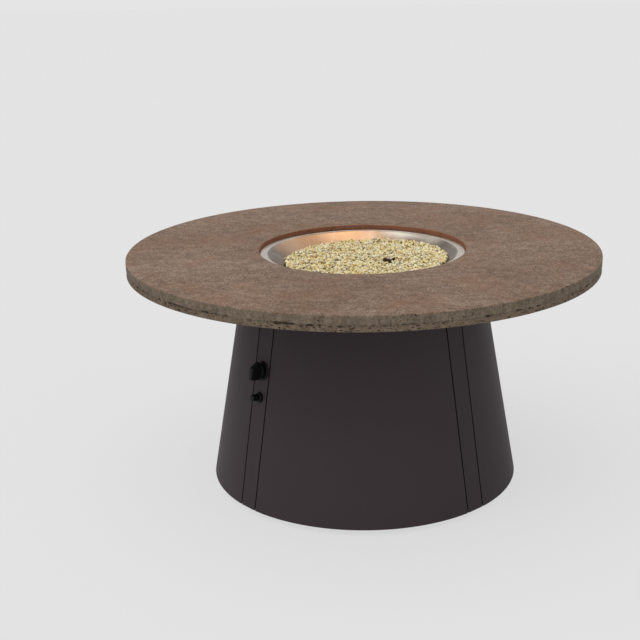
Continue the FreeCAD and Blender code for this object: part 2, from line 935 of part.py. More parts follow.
def valve_nut():
    low = -post_depth
    nut = hexagon(valve_nut_across_flats, low, low + valve_nut_height)
    bore = cylinder(valve_neck_diameter + 2 * thread_clearance, low - 1, low + valve_nut_height + 1)
    return on_post(nut.cut(bore), knob_height)


def valve_bracket():
    half = post_width / 2 + post_flange_width - 1
    corner = Vector(-half, -bracket_height / 2, -bracket_back)
    plate = Part.makeBox(2 * half, bracket_height, bracket_thickness, corner)
    corners = [
        edge
        for edge in plate.Edges
        if edge.BoundBox.XLength < 0.01 and edge.BoundBox.YLength < 0.01
    ]
    plate = plate.makeFillet(bracket_height / 10, corners)
    neck = valve_neck_diameter + 2 * hole_clearance
    plate = plate.cut(cylinder(neck, -bracket_back - 1, 0))
    return on_post(plate, knob_height).cut(screw_holes(bracket_screw_seats()))


def inlet_corner():
    return Vector(-valve_inlet_reach - inlet_elbow_reach, 0, -valve_port)


def inlet_down(distance):
    # a point below the elbow's corner, in the post's tilted axes
    tilt = math.radians(lean)
    down = Vector(0, -math.cos(tilt), -math.sin(tilt))
    return inlet_corner().add(down * distance)


def gas_inlet_fitting():
    # an elbow from the valve's inlet boss to a male flare that points straight down
    corner = inlet_corner()
    down = inlet_down(1).sub(corner)
    radius = inlet_elbow_diameter / 2
    start = Vector(-valve_inlet_reach, 0, -valve_port)
    arm = Part.makeCylinder(radius, inlet_elbow_reach, start, Vector(-1, 0, 0))
    knee = Part.makeSphere(radius, corner)
    leg = Part.makeCylinder(radius, inlet_elbow_drop, corner, down)
    collar = hexagon(inlet_hex_across_flats, 0, inlet_hex_length)
    collar.rotate(Vector(), Vector(1, 0, 0), 90 + lean)
    collar.translate(inlet_down(inlet_elbow_drop))
    flare_start = inlet_elbow_drop + inlet_hex_length
    flare_radius = inlet_flare_diameter / 2
    flare = Part.makeCylinder(flare_radius, inlet_flare_length, inlet_down(flare_start), down)
    nose_length = flare_radius / 4
    nose_start = inlet_down(flare_start + inlet_flare_length)
    nose = Part.makeCone(flare_radius, flare_radius - nose_length, nose_length, nose_start, down)
    fitting = single(arm.fuse([knee, leg, collar, flare, nose]))
    bore_length = flare_start + inlet_flare_length + nose_length
    bore = Part.makeCylinder(inlet_bore_diameter / 2, bore_length, corner, down)
    return on_post(fitting.cut(bore), knob_height)


# Control knob and bezel
def knob_bezel():
    radius = bezel_diameter / 2
    hole = bezel_hole_diameter / 2
    rounded = bezel_thickness / 2
    points = [
        (hole, 0),
        (radius, 0),
        (radius, bezel_thickness - rounded),
        (radius - rounded, bezel_thickness),
        (hole, bezel_thickness),
    ]
    return on_post(revolved_outline(points), knob_height)


def control_knob():
    low = bezel_thickness + knob_travel + 1
    skirt = cylinder(knob_skirt_diameter, low, low + knob_skirt_thickness)
    rim = level_edges(skirt, knob_skirt_diameter / 2, low + knob_skirt_thickness)
    skirt = skirt.makeFillet(knob_edge_round, rim)
    # the grip's upper end juts out as a pointer and slopes back to the skirt
    half = knob_grip_width / 2
    corners = [
        Vector(-half, -knob_grip_below, low),
        Vector(-half, -knob_grip_below, knob_projection),
        Vector(-half, knob_end_above, knob_projection),
        Vector(-half, knob_grip_above, low + knob_skirt_thickness + knob_ramp_foot),
        Vector(-half, knob_skirt_diameter / 2 - knob_edge_round, low),
        Vector(-half, -knob_grip_below, low),
    ]
    grip = Part.Face(Part.makePolygon(corners)).extrude(Vector(knob_grip_width, 0, 0))
    grip = grip.makeFillet(knob_edge_round, grip.Edges)
    knob = single(skirt.fuse(grip))
    bore_diameter = stem_diameter + 2 * knob_stem_fit
    bore = cylinder(bore_diameter, low - 1, stem_proud + knob_stem_end_room)
    flat = Part.makeBox(
        stem_diameter,
        2 * stem_diameter,
        stem_proud,
        Vector(stem_flat + knob_stem_fit, -stem_diameter, low - 2),
    )
    return on_post(knob.cut(bore.cut(flat)), knob_height)


# Push-button spark igniter
def igniter_body():
    radius = igniter_collar_diameter / 2
    barrel = igniter_barrel_diameter / 2
    bore = button_shank_diameter / 2 + thread_clearance
    bore_end = -button_hidden_length - button_travel - button_end_room
    # the pressed cap sinks into a recess of the collar
    recess = button_cap_diameter / 2 + button_cap_clearance
    recess_floor = button_cap_start - button_travel - button_seat_room
    rounded = (radius - recess) / 2
    points = [
        (0, -igniter_barrel_length),
        (barrel, -igniter_barrel_length),
        (barrel, 0),
        (radius, 0),
        (radius, igniter_collar_thickness - rounded),
        (radius - rounded, igniter_collar_thickness),
        (recess, igniter_collar_thickness),
        (recess, recess_floor),
        (bore, recess_floor),
        (bore, bore_end),
        (0, bore_end),
    ]
    return on_post(revolved_outline(points), igniter_height)


def igniter_nut():
    low = -sheet - igniter_nut_height
    nut = hexagon(igniter_nut_across_flats, low, -sheet)
    bore = cylinder(igniter_barrel_diameter + 2 * thread_clearance, low - 1, 0)
    return on_post(nut.cut(bore), igniter_height)


def igniter_button():
    end = button_cap_start + button_cap_length
    shank = cylinder(button_shank_diameter, -button_hidden_length, button_cap_start)
    cap = cylinder(button_cap_diameter, button_cap_start, end)
    rim = level_edges(cap, button_cap_diameter / 2, end)
    cap = cap.makeFillet(button_cap_round, rim)
    groove_high = end - button_groove_below_end
    groove_low = groove_high - button_groove_width
    groove = cylinder(button_cap_diameter + 1, groove_low, groove_high)
    groove = groove.cut(cylinder(button_cap_diameter - 2 * button_groove_depth, groove_low, groove_high))
    return on_post(single(shank.fuse(cap.cut(groove))), igniter_height)


# Fire glass and the pilot hood that stands in it
def glass_edge_z():
    radius, centre_z = bowl_sphere()
    inner = radius - bowl_sheet - glass_gap
    return centre_z - math.sqrt(inner ** 2 - (glass_edge_diameter / 2) ** 2)


def hood_top():
    return glass_edge_z() + glass_mound + hood_top_above_glass


def pilot_bracket():
    # drawn at the front of the bowl, then turned to its azimuth
    half = pilot_foot_width / 2
    back = -pilot_radius - pilot_foot_length / 2
    foot = Part.makeBox(
        pilot_foot_width, pilot_foot_length, pilot_sheet, Vector(-half, back, bowl_floor_top)
    )
    hood_axis_z = hood_top() - hood_diameter / 2
    upright = Part.makeBox(
        hood_diameter,
        pilot_sheet,
        hood_axis_z - bowl_floor_top,
        Vector(-hood_diameter / 2, back, bowl_floor_top),
    )
    start = Vector(0, back, hood_axis_z)
    tunnel = Part.makeCylinder(hood_diameter / 2, hood_length, start, Vector(0, 1, 0))
    tunnel = tunnel.fuse(
        Part.makeBox(
            hood_diameter, hood_length, hood_side, Vector(-hood_diameter / 2, back, hood_axis_z - hood_side)
        )
    )
    inner = hood_diameter / 2 - pilot_sheet
    hollow = Part.makeCylinder(
        inner, hood_length, start.add(Vector(0, pilot_sheet, 0)), Vector(0, 1, 0)
    )
    mouth = Part.makeBox(
        2 * inner,
        hood_length,
        hood_diameter,
        Vector(-inner, back + pilot_sheet, hood_axis_z - hood_diameter),
    )
    below = Part.makeBox(
        2 * hood_diameter,
        2 * hood_length,
        hood_diameter,
        Vector(-hood_diameter, back + pilot_sheet, hood_axis_z - hood_side - hood_diameter),
    )
    hood = tunnel.cut([hollow, mouth, below])
    bracket = single(foot.fuse([upright, hood]))
    for hole in probe_drills(bowl_floor_top - 1, bowl_floor_top + pilot_sheet + 1):
        bracket = bracket.cut(hole)
    return turned(bracket, pilot_azimuth)


def probe_drills(low, high):
    diameters = (electrode_diameter, thermocouple_diameter)
    drills = []
    for side, diameter in zip((-1, 1), diameters):
        drills.append(
            cylinder(diameter + 2 * hole_clearance, low, high, side * probe_spacing / 2, -pilot_radius)
        )
    return drills


def probe_holes(low, high):
    return [turned(drill, pilot_azimuth) for drill in probe_drills(low, high)]


def spark_electrode():
    x = -probe_spacing / 2
    top = hood_top() - probe_below_hood
    ceramic = cylinder(electrode_diameter, bowl_floor_z - electrode_below_bowl, top, x, -pilot_radius)
    wire = cylinder(electrode_wire_diameter, top, top + probe_tip_length, x, -pilot_radius)
    collar = cylinder(
        electrode_diameter * 2,
        bowl_floor_top + pilot_sheet,
        bowl_floor_top + pilot_sheet * 3,
        x - electrode_diameter / 4,
        -pilot_radius,
    )
    return turned(single(ceramic.fuse([wire, collar])), pilot_azimuth)


def thermocouple():
    x = probe_spacing / 2
    top = hood_top() - probe_below_hood
    low = bowl_floor_z - thermocouple_below_bowl
    rod = cylinder(thermocouple_diameter, low, top, x, -pilot_radius)
    tip = Part.makeCone(
        thermocouple_diameter / 2, thermocouple_diameter / 4, probe_tip_length, Vector(x, -pilot_radius, top)
    )
    collar = hexagon(
        thermocouple_diameter * 2,
        bowl_floor_z - thermocouple_diameter,
        bowl_floor_z,
        x + thermocouple_diameter / 4,
        -pilot_radius,
    )
    return turned(single(rod.fuse([tip, collar])), pilot_azimuth)


def heap_rings():
    # corners of the heap's facets, one more a side in each ring, at random heights under a low dome
    draw = random.Random(glass_seed)
    edge_radius = glass_edge_diameter / 2
    dome_radius = (edge_radius ** 2 + glass_mound ** 2) / 2 / glass_mound
    crown_z = glass_edge_z() + glass_mound
    rings = []
    for ring in range(math.ceil(edge_radius / glass_lump) + 2):
        corners = []
        count = max(1, glass_heap_sides * ring)
        for index in range(count):
            radius = ring * glass_lump
            drop = 0.0
            if ring:
                radius += draw.uniform(-glass_lump_shift, glass_lump_shift)
                drop = draw.uniform(0, glass_relief)
            z = crown_z - dome_radius + math.sqrt(dome_radius ** 2 - radius ** 2)
            corners.append(polar_point(radius, 360 * index / count, z - drop))
        rings.append(corners)
    return rings


def triangle(a, b, c):
    return Part.Face(Part.makePolygon([a, b, c, a]))


def heap_facets(rings):
    faces = []
    for ring in range(1, len(rings)):
        inner = rings[ring - 1]
        outer = rings[ring]
        for side in range(glass_heap_sides):
            for index in range(ring):
                start = outer[side * ring + index]
                end = outer[(side * ring + index + 1) % len(outer)]
                near = inner[(side * (ring - 1) + index) % len(inner)]
                faces.append(triangle(start, end, near))
                if index < ring - 1:
                    after = inner[(side * (ring - 1) + index + 1) % len(inner)]
                    faces.append(triangle(near, end, after))
    return faces


def heap_solid(floor_z):
    # everything under the facets, down to a level below the bed
    rings = heap_rings()
    faces = heap_facets(rings)
    top = rings[-1]
    bottom = [Vector(corner.x, corner.y, floor_z - glass_lump) for corner in top]
    for index in range(len(top)):
        after = (index + 1) % len(top)
        wall = [top[index], top[after], bottom[after], bottom[index], top[index]]
        faces.append(Part.Face(Part.makePolygon(wall)))
    faces.append(Part.Face(Part.makePolygon(bottom + [bottom[0]])))
    shell = Part.Shell(faces)
    shell.sewShape()
    return Part.Solid(shell)


def fire_glass():
    # a heap of crumbs with the larger lumps as facets, round the burner and the pilot
    edge_z = glass_edge_z()
    floor_z = bowl_floor_top + glass_gap
    crown_z = edge_z + glass_mound
    wall = dish_arc(bowl_sheet + glass_gap, floor_z, edge_z)
    edge = wall.Vertexes[1].Point
    above = Vector(edge.x, 0, crown_z)
    edges = [
        wall,
        Part.makeLine(edge, above),
        Part.makeLine(above, Vector(0, 0, crown_z)),
        Part.makeLine(Vector(0, 0, crown_z), Vector(0, 0, floor_z)),
        Part.makeLine(Vector(0, 0, floor_z), wall.Vertexes[0].Point),
    ]
    bed = revolved(edges).common(heap_solid(floor_z)).cut(burner_solid(burner_pocket))
    margin = 2 * burner_pocket
    width = pilot_foot_width + 2 * margin
    length = max(pilot_foot_length, hood_length) + 2 * margin
    corner = Vector(-width / 2, -pilot_radius - pilot_foot_length / 2 - margin, bowl_floor_top)
    pocket = Part.makeBox(width, length, bowl_depth, corner)
    return bed.cut(turned(pocket, pilot_azimuth))


# Leads under the bowl, each from its probe to its control
def pilot_point(x, z):
    vertex = turned(Part.Vertex(x, -pilot_radius, z), pilot_azimuth)
    return vertex.Point


def hung_point(x, y, drop):
    return Vector(x, y, bowl_floor_z - drop)


def spark_lead():
    start = pilot_point(-probe_spacing / 2, bowl_floor_z - electrode_below_bowl)
    points = [
        start,
        start.add(Vector(0, 0, -34)),
        hung_point(44, -100, 84),
        hung_point(-12, -136, 102),
        hung_point(-76, -148, 132),
        hung_point(-128, -146, 180),
        hung_point(-152, -150, 232),
        post_point(0, 0, -igniter_barrel_length - 44, igniter_height),
        post_point(0, 0, -igniter_barrel_length, igniter_height),
    ]
    return tangent_tube(points, spark_lead_diameter)


def thermocouple_lead():
    start = pilot_point(probe_spacing / 2, bowl_floor_z - thermocouple_below_bowl)
    end = valve_rear + valve_rear_boss_length
    points = [
        start,
        start.add(Vector(0, 0, -26)),
        hung_point(66, -106, 64),
        hung_point(18, -150, 76),
        hung_point(-44, -172, 106),
        hung_point(-100, -172, 148),
        hung_point(-136, -158, 186),
        post_point(0, 0, -end - 26, knob_height),
        post_point(0, 0, -end, knob_height),
    ]
    return tangent_tube(points, thermocouple_lead_diameter)


def build_nodes():
    return {
        "stone_top": stone_top(),
        "stone_pads": stone_pads(),
        "top_ring": top_ring(),
        "base_ring": base_ring(),
        "frame_bolts": frame_bolts(),
        "front_left_post": post(-45),
        "front_right_post": post(45),
        "rear_right_post": post(135),
        "rear_left_post": post(225),
        "front_panel": fixed_panel(0),
        "right_panel": fixed_panel(90),
        "left_panel": fixed_panel(270),
        "access_door": access_door(),
        "panel_screws": pan_screws(panel_screw_seats(), post_depth),
        "bracket_screws": pan_screws(bracket_screw_seats(), bracket_back),
        "magnet_catches": magnet_catches(),
        "front_left_foot": levelling_foot(-45),
        "front_right_foot": levelling_foot(45),
        "rear_right_foot": levelling_foot(135),
        "rear_left_foot": levelling_foot(225),
        "foot_nuts": foot_nuts(),
        "burner_bowl": burner_bowl(),
        "burner_ring": burner_ring(),
        "burner_locknut": burner_locknut(),
        "air_mixer": air_mixer(),
        "gas_elbow": gas_elbow(),
        "gas_tube": gas_tube(),
        "flare_nuts": flare_nuts(),
        "gas_valve": gas_valve(),
        "valve_bracket": valve_bracket(),
        "valve_nut": valve_nut(),
        "valve_plunger": valve_plunger(),
        "valve_stem": valve_stem(),
        "gas_inlet_fitting": gas_inlet_fitting(),
        "knob_bezel": knob_bezel(),
        "control_knob": control_knob(),
        "igniter_body": igniter_body(),
        "igniter_nut": igniter_nut(),
        "igniter_button": igniter_button(),
        "pilot_bracket": pilot_bracket(),
        "spark_electrode": spark_electrode(),
        "thermocouple": thermocouple(),
        "spark_lead": spark_lead(),
        "thermocouple_lead": thermocouple_lead(),
        "fire_glass": fire_glass(),
    }


os.makedirs("parts", exist_ok=True)
nodes = build_nodes()
for name, shape in nodes.items():
    shape.exportStep("parts/" + name + ".step")
    print(name, len(shape.Solids), "solid(s)", round(shape.Volume / 1000, 1), "cm3", shape.isValid())
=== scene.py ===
import json
import math
import random
from itertools import combinations

import bpy
from mathutils import Matrix, Vector, noise
from mathutils.bvhtree import BVHTree


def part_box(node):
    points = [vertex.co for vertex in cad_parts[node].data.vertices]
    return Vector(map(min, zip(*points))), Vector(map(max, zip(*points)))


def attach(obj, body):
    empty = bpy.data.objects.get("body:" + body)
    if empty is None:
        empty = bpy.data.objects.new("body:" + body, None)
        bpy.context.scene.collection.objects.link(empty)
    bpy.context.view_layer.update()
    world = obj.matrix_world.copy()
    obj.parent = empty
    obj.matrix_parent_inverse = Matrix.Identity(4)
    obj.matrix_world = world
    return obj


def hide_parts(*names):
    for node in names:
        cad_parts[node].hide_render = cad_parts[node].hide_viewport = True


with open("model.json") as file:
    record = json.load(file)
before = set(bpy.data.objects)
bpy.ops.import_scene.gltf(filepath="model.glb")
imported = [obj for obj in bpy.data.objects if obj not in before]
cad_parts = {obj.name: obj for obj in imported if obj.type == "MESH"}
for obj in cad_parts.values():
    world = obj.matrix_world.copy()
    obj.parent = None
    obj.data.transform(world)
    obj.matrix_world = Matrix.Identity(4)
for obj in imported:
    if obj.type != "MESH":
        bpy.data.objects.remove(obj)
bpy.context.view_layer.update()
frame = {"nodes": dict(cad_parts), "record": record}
bpy.context.scene.view_settings.view_transform = "Standard"
print("frame loaded:", len(frame["nodes"]), "nodes")


# camera, placed where the photograph was taken from
cameraSet = {
    "place": (0.0915, -3.0136, 1.3539),
    "azimuth": 3.9,  # degrees, 0 looks along +Y
    "elevation": 17.1,
    "roll": -1.15,
    "lens": 66.93,
    "sensor": 36.0,
    "farthest": 100.0,
}


def makeCamera(s):
    turn = math.radians(s["azimuth"])
    tilt = math.radians(s["elevation"])
    roll = math.radians(s["roll"])
    ahead = Vector((-math.sin(turn) * math.cos(tilt), math.cos(turn) * math.cos(tilt), -math.sin(tilt)))
    right = Vector((math.cos(turn), math.sin(turn), 0))
    up = right.cross(ahead)
    rolledRight = right * math.cos(roll) + up * math.sin(roll)
    rolledUp = up * math.cos(roll) - right * math.sin(roll)
    axes = Matrix((rolledRight, rolledUp, -ahead)).transposed()
    data = bpy.data.cameras.new("camera")
    data.lens = s["lens"]
    data.sensor_width = s["sensor"]
    data.clip_end = s["farthest"]
    camera = bpy.data.objects.new("camera", data)
    camera.matrix_world = Matrix.Translation(s["place"]) @ axes.to_4x4()
    bpy.context.scene.collection.objects.link(camera)
    bpy.context.scene.camera = camera


makeCamera(cameraSet)
print("camera ready")


# small helpers for shader nodes
mixSockets = (0, 6, 7)  # where a colour mix node takes its factor and its two colours
mixResult = 2  # and where it gives the mixed colour


def addNode(tree, kind, inputs=None, **settings):
    made = tree.nodes.new(kind)
    for key, value in settings.items():
        setattr(made, key, value)
    for key, value in (inputs or {}).items():
        socket = made.inputs[key]
        if isinstance(value, bpy.types.NodeSocket):
            tree.links.new(value, socket)
        else:
            socket.default_value = value
    return made


def newMaterial(name, inputs):
    material = bpy.data.materials.new(name)
    material.use_nodes = True
    shader = material.node_tree.nodes["Principled BSDF"]
    for key, value in inputs.items():
        shader.inputs[key].default_value = value
    return material, material.node_tree, shader


def mathNode(tree, operation, a, b=0.0, clamp=False):
    made = addNode(tree, "ShaderNodeMath", {0: a, 1: b}, operation=operation, use_clamp=clamp)
    return made.outputs[0]


def weighted(tree, values, shares):
    # the sum of values, each times its share
    total = None
    for value, share in zip(values, shares):
        part = mathNode(tree, "MULTIPLY", value, share)
        total = part if total is None else mathNode(tree, "ADD", total, part)
    return total


def between(tree, value, low, high, least=0.0, most=1.0):
    # a value's place between two limits
    made = addNode(
        tree,
        "ShaderNodeMapRange",
        {"Value": value, "From Min": low, "From Max": high, "To Min": least, "To Max": most},
    )
    return made.outputs["Result"]


def rampNode(tree, value, stops, colours):
    made = addNode(tree, "ShaderNodeValToRGB", {"Fac": value})
    ramp = made.color_ramp
    while len(ramp.elements) < len(stops):
        ramp.elements.new(0.5)
    for element, place, colour in zip(ramp.elements, stops, colours):
        element.position = place
        element.color = (*colour, 1.0)
    return made.outputs["Color"]


def mixColour(tree, factor, a, b):
    made = addNode(tree, "ShaderNodeMix", data_type="RGBA")
    for index, value in zip(mixSockets, (factor, a, b)):
        if isinstance(value, bpy.types.NodeSocket):
            tree.links.new(value, made.inputs[index])
        elif isinstance(value, tuple):
            made.inputs[index].default_value = (*value, 1.0)
        else:
            made.inputs[index].default_value = value
    return made.outputs[mixResult]


def noiseNode(tree, where, scale, detail, rough, distortion=0.0):
    made = addNode(
        tree,
        "ShaderNodeTexNoise",
        {"Vector": where, "Scale": scale, "Detail": detail, "Roughness": rough, "Distortion": distortion},
    )
    return made.outputs["Fac"]


def spots(tree, where, scale, size, soft):
    # round dark spots, 1 in the middle of each
    cells = addNode(tree, "ShaderNodeTexVoronoi", {"Vector": where, "Scale": scale})
    return between(tree, cells.outputs["Distance"], size + soft, size)


def bumpNode(tree, height, strength, distance):
    inputs = {"Height": height, "Strength": strength, "Distance": distance}
    return addNode(tree, "ShaderNodeBump", inputs).outputs["Normal"]


def attributeOf(tree, name):
    return addNode(tree, "ShaderNodeAttribute", attribute_name=name).outputs["Fac"]


def objectPlace(tree):
    return addNode(tree, "ShaderNodeTexCoord").outputs["Object"]


def stretched(tree, where, scale):
    return addNode(tree, "ShaderNodeMapping", {"Vector": where, "Scale": scale}).outputs["Vector"]


# studio: pale floor and background, soft light
studioSet = {
    "background": 0.783,
    "skyLight": 0.36,
    "floorColour": 0.78,
    "floorGlow": 0.8,
    "floorSize": 60.0,
    "lampDistance": 3.0,
    # soft far lamps: where they stand from, how wide they look, how strong
    "lamps": {
        "overhead": {"from": (-0.15, -0.1, 1.0), "spread": 70.0, "power": 1.35},
        "key": {"from": (-1.0, -0.75, 0.9), "spread": 40.0, "power": 0.6},
        "fill": {"from": (1.0, -0.7, 0.55), "spread": 50.0, "power": 0.25},
    },
}


def softLamp(name, s, distance):
    data = bpy.data.lights.new(name, "SUN")
    data.angle = math.radians(s["spread"])
    data.energy = s["power"]
    lamp = bpy.data.objects.new(name, data)
    lamp.location = Vector(s["from"]) * distance
    lamp.rotation_mode = "QUATERNION"
    lamp.rotation_quaternion = Vector(s["from"]).to_track_quat("Z", "Y")
    bpy.context.scene.collection.objects.link(lamp)


def seenRays(tree):
    path = addNode(tree, "ShaderNodeLightPath")
    seen = mathNode(tree, "MAXIMUM", path.outputs["Is Camera Ray"], path.outputs["Is Glossy Ray"])
    return mathNode(tree, "MAXIMUM", seen, path.outputs["Is Transmission Ray"])


def makeStudio(s):
    world = bpy.data.worlds.new("studio")
    world.use_nodes = True
    bpy.context.scene.world = world
    tree = world.node_tree
    tree.nodes.clear()
    grey = (s["background"],) * 3 + (1.0,)
    lit = addNode(tree, "ShaderNodeBackground", {"Color": (1, 1, 1, 1), "Strength": s["skyLight"]})
    shown = addNode(tree, "ShaderNodeBackground", {"Color": grey, "Strength": 1.0})
    mixed = addNode(
        tree, "ShaderNodeMixShader", {0: seenRays(tree), 1: lit.outputs[0], 2: shown.outputs[0]}
    )
    addNode(tree, "ShaderNodeOutputWorld", {"Surface": mixed.outputs[0]})

    material = bpy.data.materials.new("paleFloor")
    material.use_nodes = True
    tree = material.node_tree
    tree.nodes.clear()
    matt = addNode(tree, "ShaderNodeBsdfDiffuse", {"Color": (s["floorColour"],) * 3 + (1.0,)})
    glow = addNode(tree, "ShaderNodeEmission", {"Color": grey, "Strength": 1.0})
    share = mathNode(tree, "MULTIPLY", seenRays(tree), s["floorGlow"])
    mixed = addNode(tree, "ShaderNodeMixShader", {0: share, 1: matt.outputs[0], 2: glow.outputs[0]})
    addNode(tree, "ShaderNodeOutputMaterial", {"Surface": mixed.outputs[0]})
    half = s["floorSize"] / 2
    mesh = bpy.data.meshes.new("floor")
    corners = [(-half, -half, 0), (half, -half, 0), (half, half, 0), (-half, half, 0)]
    mesh.from_pydata(corners, [], [(0, 1, 2, 3)])
    mesh.materials.append(material)
    floor = bpy.data.objects.new("floor", mesh)
    bpy.context.scene.collection.objects.link(floor)
    for name, lampSet in s["lamps"].items():
        softLamp(name, lampSet, s["lampDistance"])


makeStudio(studioSet)
print("studio ready")


# mesh helpers
aboveAll = 1.0  # metres, a height over every piece


def surfaceOf(node):
    mesh = frame["nodes"][node].data
    corners = [vertex.co.copy() for vertex in mesh.vertices]
    return BVHTree.FromPolygons(corners, [tuple(face.vertices) for face in mesh.polygons])


def heightOn(surface, x, y):
    hit = surface.ray_cast(Vector((x, y, aboveAll)), Vector((0, 0, -1)))[0]
    return hit.z if hit else None


def limited(value):
    # held between 0 and 1
    return max(0.0, min(1.0, value))


def makePiece(name, points, faces, material, body, replaced, smooth=True):
    mesh = bpy.data.meshes.new(name)
    mesh.from_pydata(points, [], faces)
    mesh.materials.append(material)
    if smooth:
        mesh.polygons.foreach_set("use_smooth", [True] * len(mesh.polygons))
    mesh.update()
    piece = bpy.data.objects.new(name, mesh)
    bpy.context.scene.collection.objects.link(piece)
    if replaced:
        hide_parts(*replaced)
    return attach(piece, body)


def ringFaces(rings, around):
    # quads between one ring of points and the next, and from the last ring back to the first
    faces = []
    for ring in range(rings):
        low = ring * around
        high = (ring + 1) % rings * around
        for step in range(around):
            after = (step + 1) % around
            faces.append((low + step, low + after, high + after, high + step))
    return faces


def roundCorner(centre, radius, fromAngle, toAngle, steps):
    points = []
    for step in range(steps + 1):
        angle = math.radians(fromAngle + (toAngle - fromAngle) * step / steps)
        points.append((centre[0] + radius * math.cos(angle), centre[1] + radius * math.sin(angle)))
    return points


def evenly(start, end, count):
    # the points between two ends, without the ends
    points = []
    for step in range(1, count):
        share = step / count
        points.append((start[0] + (end[0] - start[0]) * share, start[1] + (end[1] - start[1]) * share))
    return points


# spun stainless bowl
bowlSet = {
    "opening": 0.248,  # radius of the mouth
    "flat": 0.105,  # radius of the level floor
    "pipeHole": 0.0104,
    "wall": 0.0012,
    "mouthRound": 0.005,
    "mouthLead": 0.0005,  # the dish ends this far before its rounded mouth
    "mouthSteps": 6,
    "edgeBead": 0.0011,
    "beadLift": 0.4,  # height and thickness of the rolled edge, as shares of the bead
    "beadFill": 0.9,
    "beadTurn": (120, -60),
    "beadSteps": 6,
    "around": 256,
    "steps": 26,
    "steel": (0.275, 0.228, 0.184),
    # darker steel for dull clouds and for painted dark reflection, brighter steel for painted highlights
    "dullSteelAndPaintedShade": (0.12, 0.095, 0.077),
    "paintedHighlightSteel": (0.62, 0.57, 0.49),
    "heatTint": (0.3, 0.18, 0.1),
    "strawAndPaintedLight": (0.62, 0.345, 0.18),
    "roughness": 0.24,
    "brushed": 0.65,
    # each noise: scale, detail, roughness, distortion
    "rings": (620.0, 3.0, 0.7),
    "cloud": (7.0, 4.0, 0.6),
    "smear": (34.0, 5.0, 0.7, 0.5),
    "paintedSheenStreak": (3.1, 1.5, 0.5),
    # each range: where it starts and ends, then its least and most effect
    "cloudRange": (0.4, 0.62),
    # painted reflection: the ranges of the darker and lighter streaks
    "paintedDarkStreak": (0.5, 0.38, 0.0, 0.7),
    "paintedBrightStreak": (0.5, 0.68, 0.0, 0.6),
    "paintedRimHighlight": (0.2462, 0.2477, 0.0, 0.8),  # radius where the painted highlight along the rim starts
    "heatBand": (0.245, 0.2),
    "heatRange": (0.35, 0.7, 0.0, 0.6),
    # one side painted straw-coloured, a painted warm reflection of the flame that is partly heat tint;
    # one with a painted highlight near the mouth; one with a painted dark reflection
    "paintedLightPatches": [
        {
            "tint": "strawAndPaintedLight",
            "side": (-0.5, 0.866, 0.0),
            "reach": (0.6, 0.97, 0.0, 0.85),  # how squarely the steel lies on that side
            "band": (0.2475, 0.244),  # radius
        },
        {
            "tint": "paintedHighlightSteel",
            "side": (0.6, 0.8, 0.0),
            "reach": (0.88, 0.95),
            "band": (0.222, 0.24, 0.0, 0.5),
        },
        {
            "tint": "dullSteelAndPaintedShade",
            "side": (1.0, 0.0, 0.0),
            "reach": (0.84, 0.93, 0.0, 0.7),
            "band": (0.2475, 0.24),
        },
    ],
    "shineBase": 0.12,
    "shineShares": (0.14, 0.12),  # smears, rings
    "bump": (0.02, 0.0003),
}


def towards(tree, heading, side):
    # 1 on one side of the bowl, 0 a quarter of a turn away from it
    made = addNode(tree, "ShaderNodeVectorMath", {0: heading, 1: side}, operation="DOT_PRODUCT")
    return made.outputs["Value"]


def steelMaterial(s):
    material, tree, shader = newMaterial(
        "spunSteel", {"Metallic": 1.0, "Roughness": s["roughness"], "Anisotropic": s["brushed"]}
    )
    tangent = addNode(tree, "ShaderNodeTangent", direction_type="RADIAL", axis="Z").outputs[0]
    tree.links.new(tangent, shader.inputs["Tangent"])
    where = objectPlace(tree)
    parts = addNode(tree, "ShaderNodeSeparateXYZ", {"Vector": where})
    level = {"X": parts.outputs["X"], "Y": parts.outputs["Y"]}
    across = addNode(tree, "ShaderNodeCombineXYZ", level).outputs[0]
    radius = addNode(tree, "ShaderNodeVectorMath", {0: across}, operation="LENGTH").outputs["Value"]
    heading = addNode(tree, "ShaderNodeVectorMath", {0: across}, operation="NORMALIZE").outputs[0]
    section = {"X": radius, "Y": parts.outputs["Z"]}
    turned = addNode(tree, "ShaderNodeCombineXYZ", section).outputs["Vector"]
    rings = noiseNode(tree, turned, *s["rings"])
    cloud = noiseNode(tree, where, *s["cloud"])
    smear = noiseNode(tree, where, *s["smear"])
    colour = mixColour(tree, between(tree, cloud, *s["cloudRange"]), s["steel"], s["dullSteelAndPaintedShade"])

    # painted sheen: darker and lighter streaks painted into the colour, running from the floor of the
    # bowl to its mouth
    paintedSheenStreak = noiseNode(tree, heading, *s["paintedSheenStreak"])
    colour = mixColour(tree, between(tree, paintedSheenStreak, *s["paintedDarkStreak"]), colour, s["dullSteelAndPaintedShade"])
    colour = mixColour(tree, between(tree, paintedSheenStreak, *s["paintedBrightStreak"]), colour, s["paintedHighlightSteel"])
    # painted highlight along the rim of the mouth
    colour = mixColour(tree, between(tree, radius, *s["paintedRimHighlight"]), colour, s["paintedHighlightSteel"])
    # painted reflections on fixed sides of the bowl, the straw one partly heat tint
    for patch in s["paintedLightPatches"]:
        share = between(tree, towards(tree, heading, patch["side"]), *patch["reach"])
        share = mathNode(tree, "MULTIPLY", share, between(tree, radius, *patch["band"]))
        colour = mixColour(tree, share, colour, s[patch["tint"]])
    heat = between(tree, radius, *s["heatBand"])
    heat = mathNode(tree, "MULTIPLY", heat, between(tree, smear, *s["heatRange"]))
    colour = mixColour(tree, heat, colour, s["heatTint"])
    tree.links.new(colour, shader.inputs["Base Color"])
    shine = weighted(tree, (smear, rings), s["shineShares"])
    shine = mathNode(tree, "ADD", s["roughness"] - s["shineBase"], shine)
    tree.links.new(shine, shader.inputs["Roughness"])
    tree.links.new(bumpNode(tree, rings, *s["bump"]), shader.inputs["Normal"])
    return material


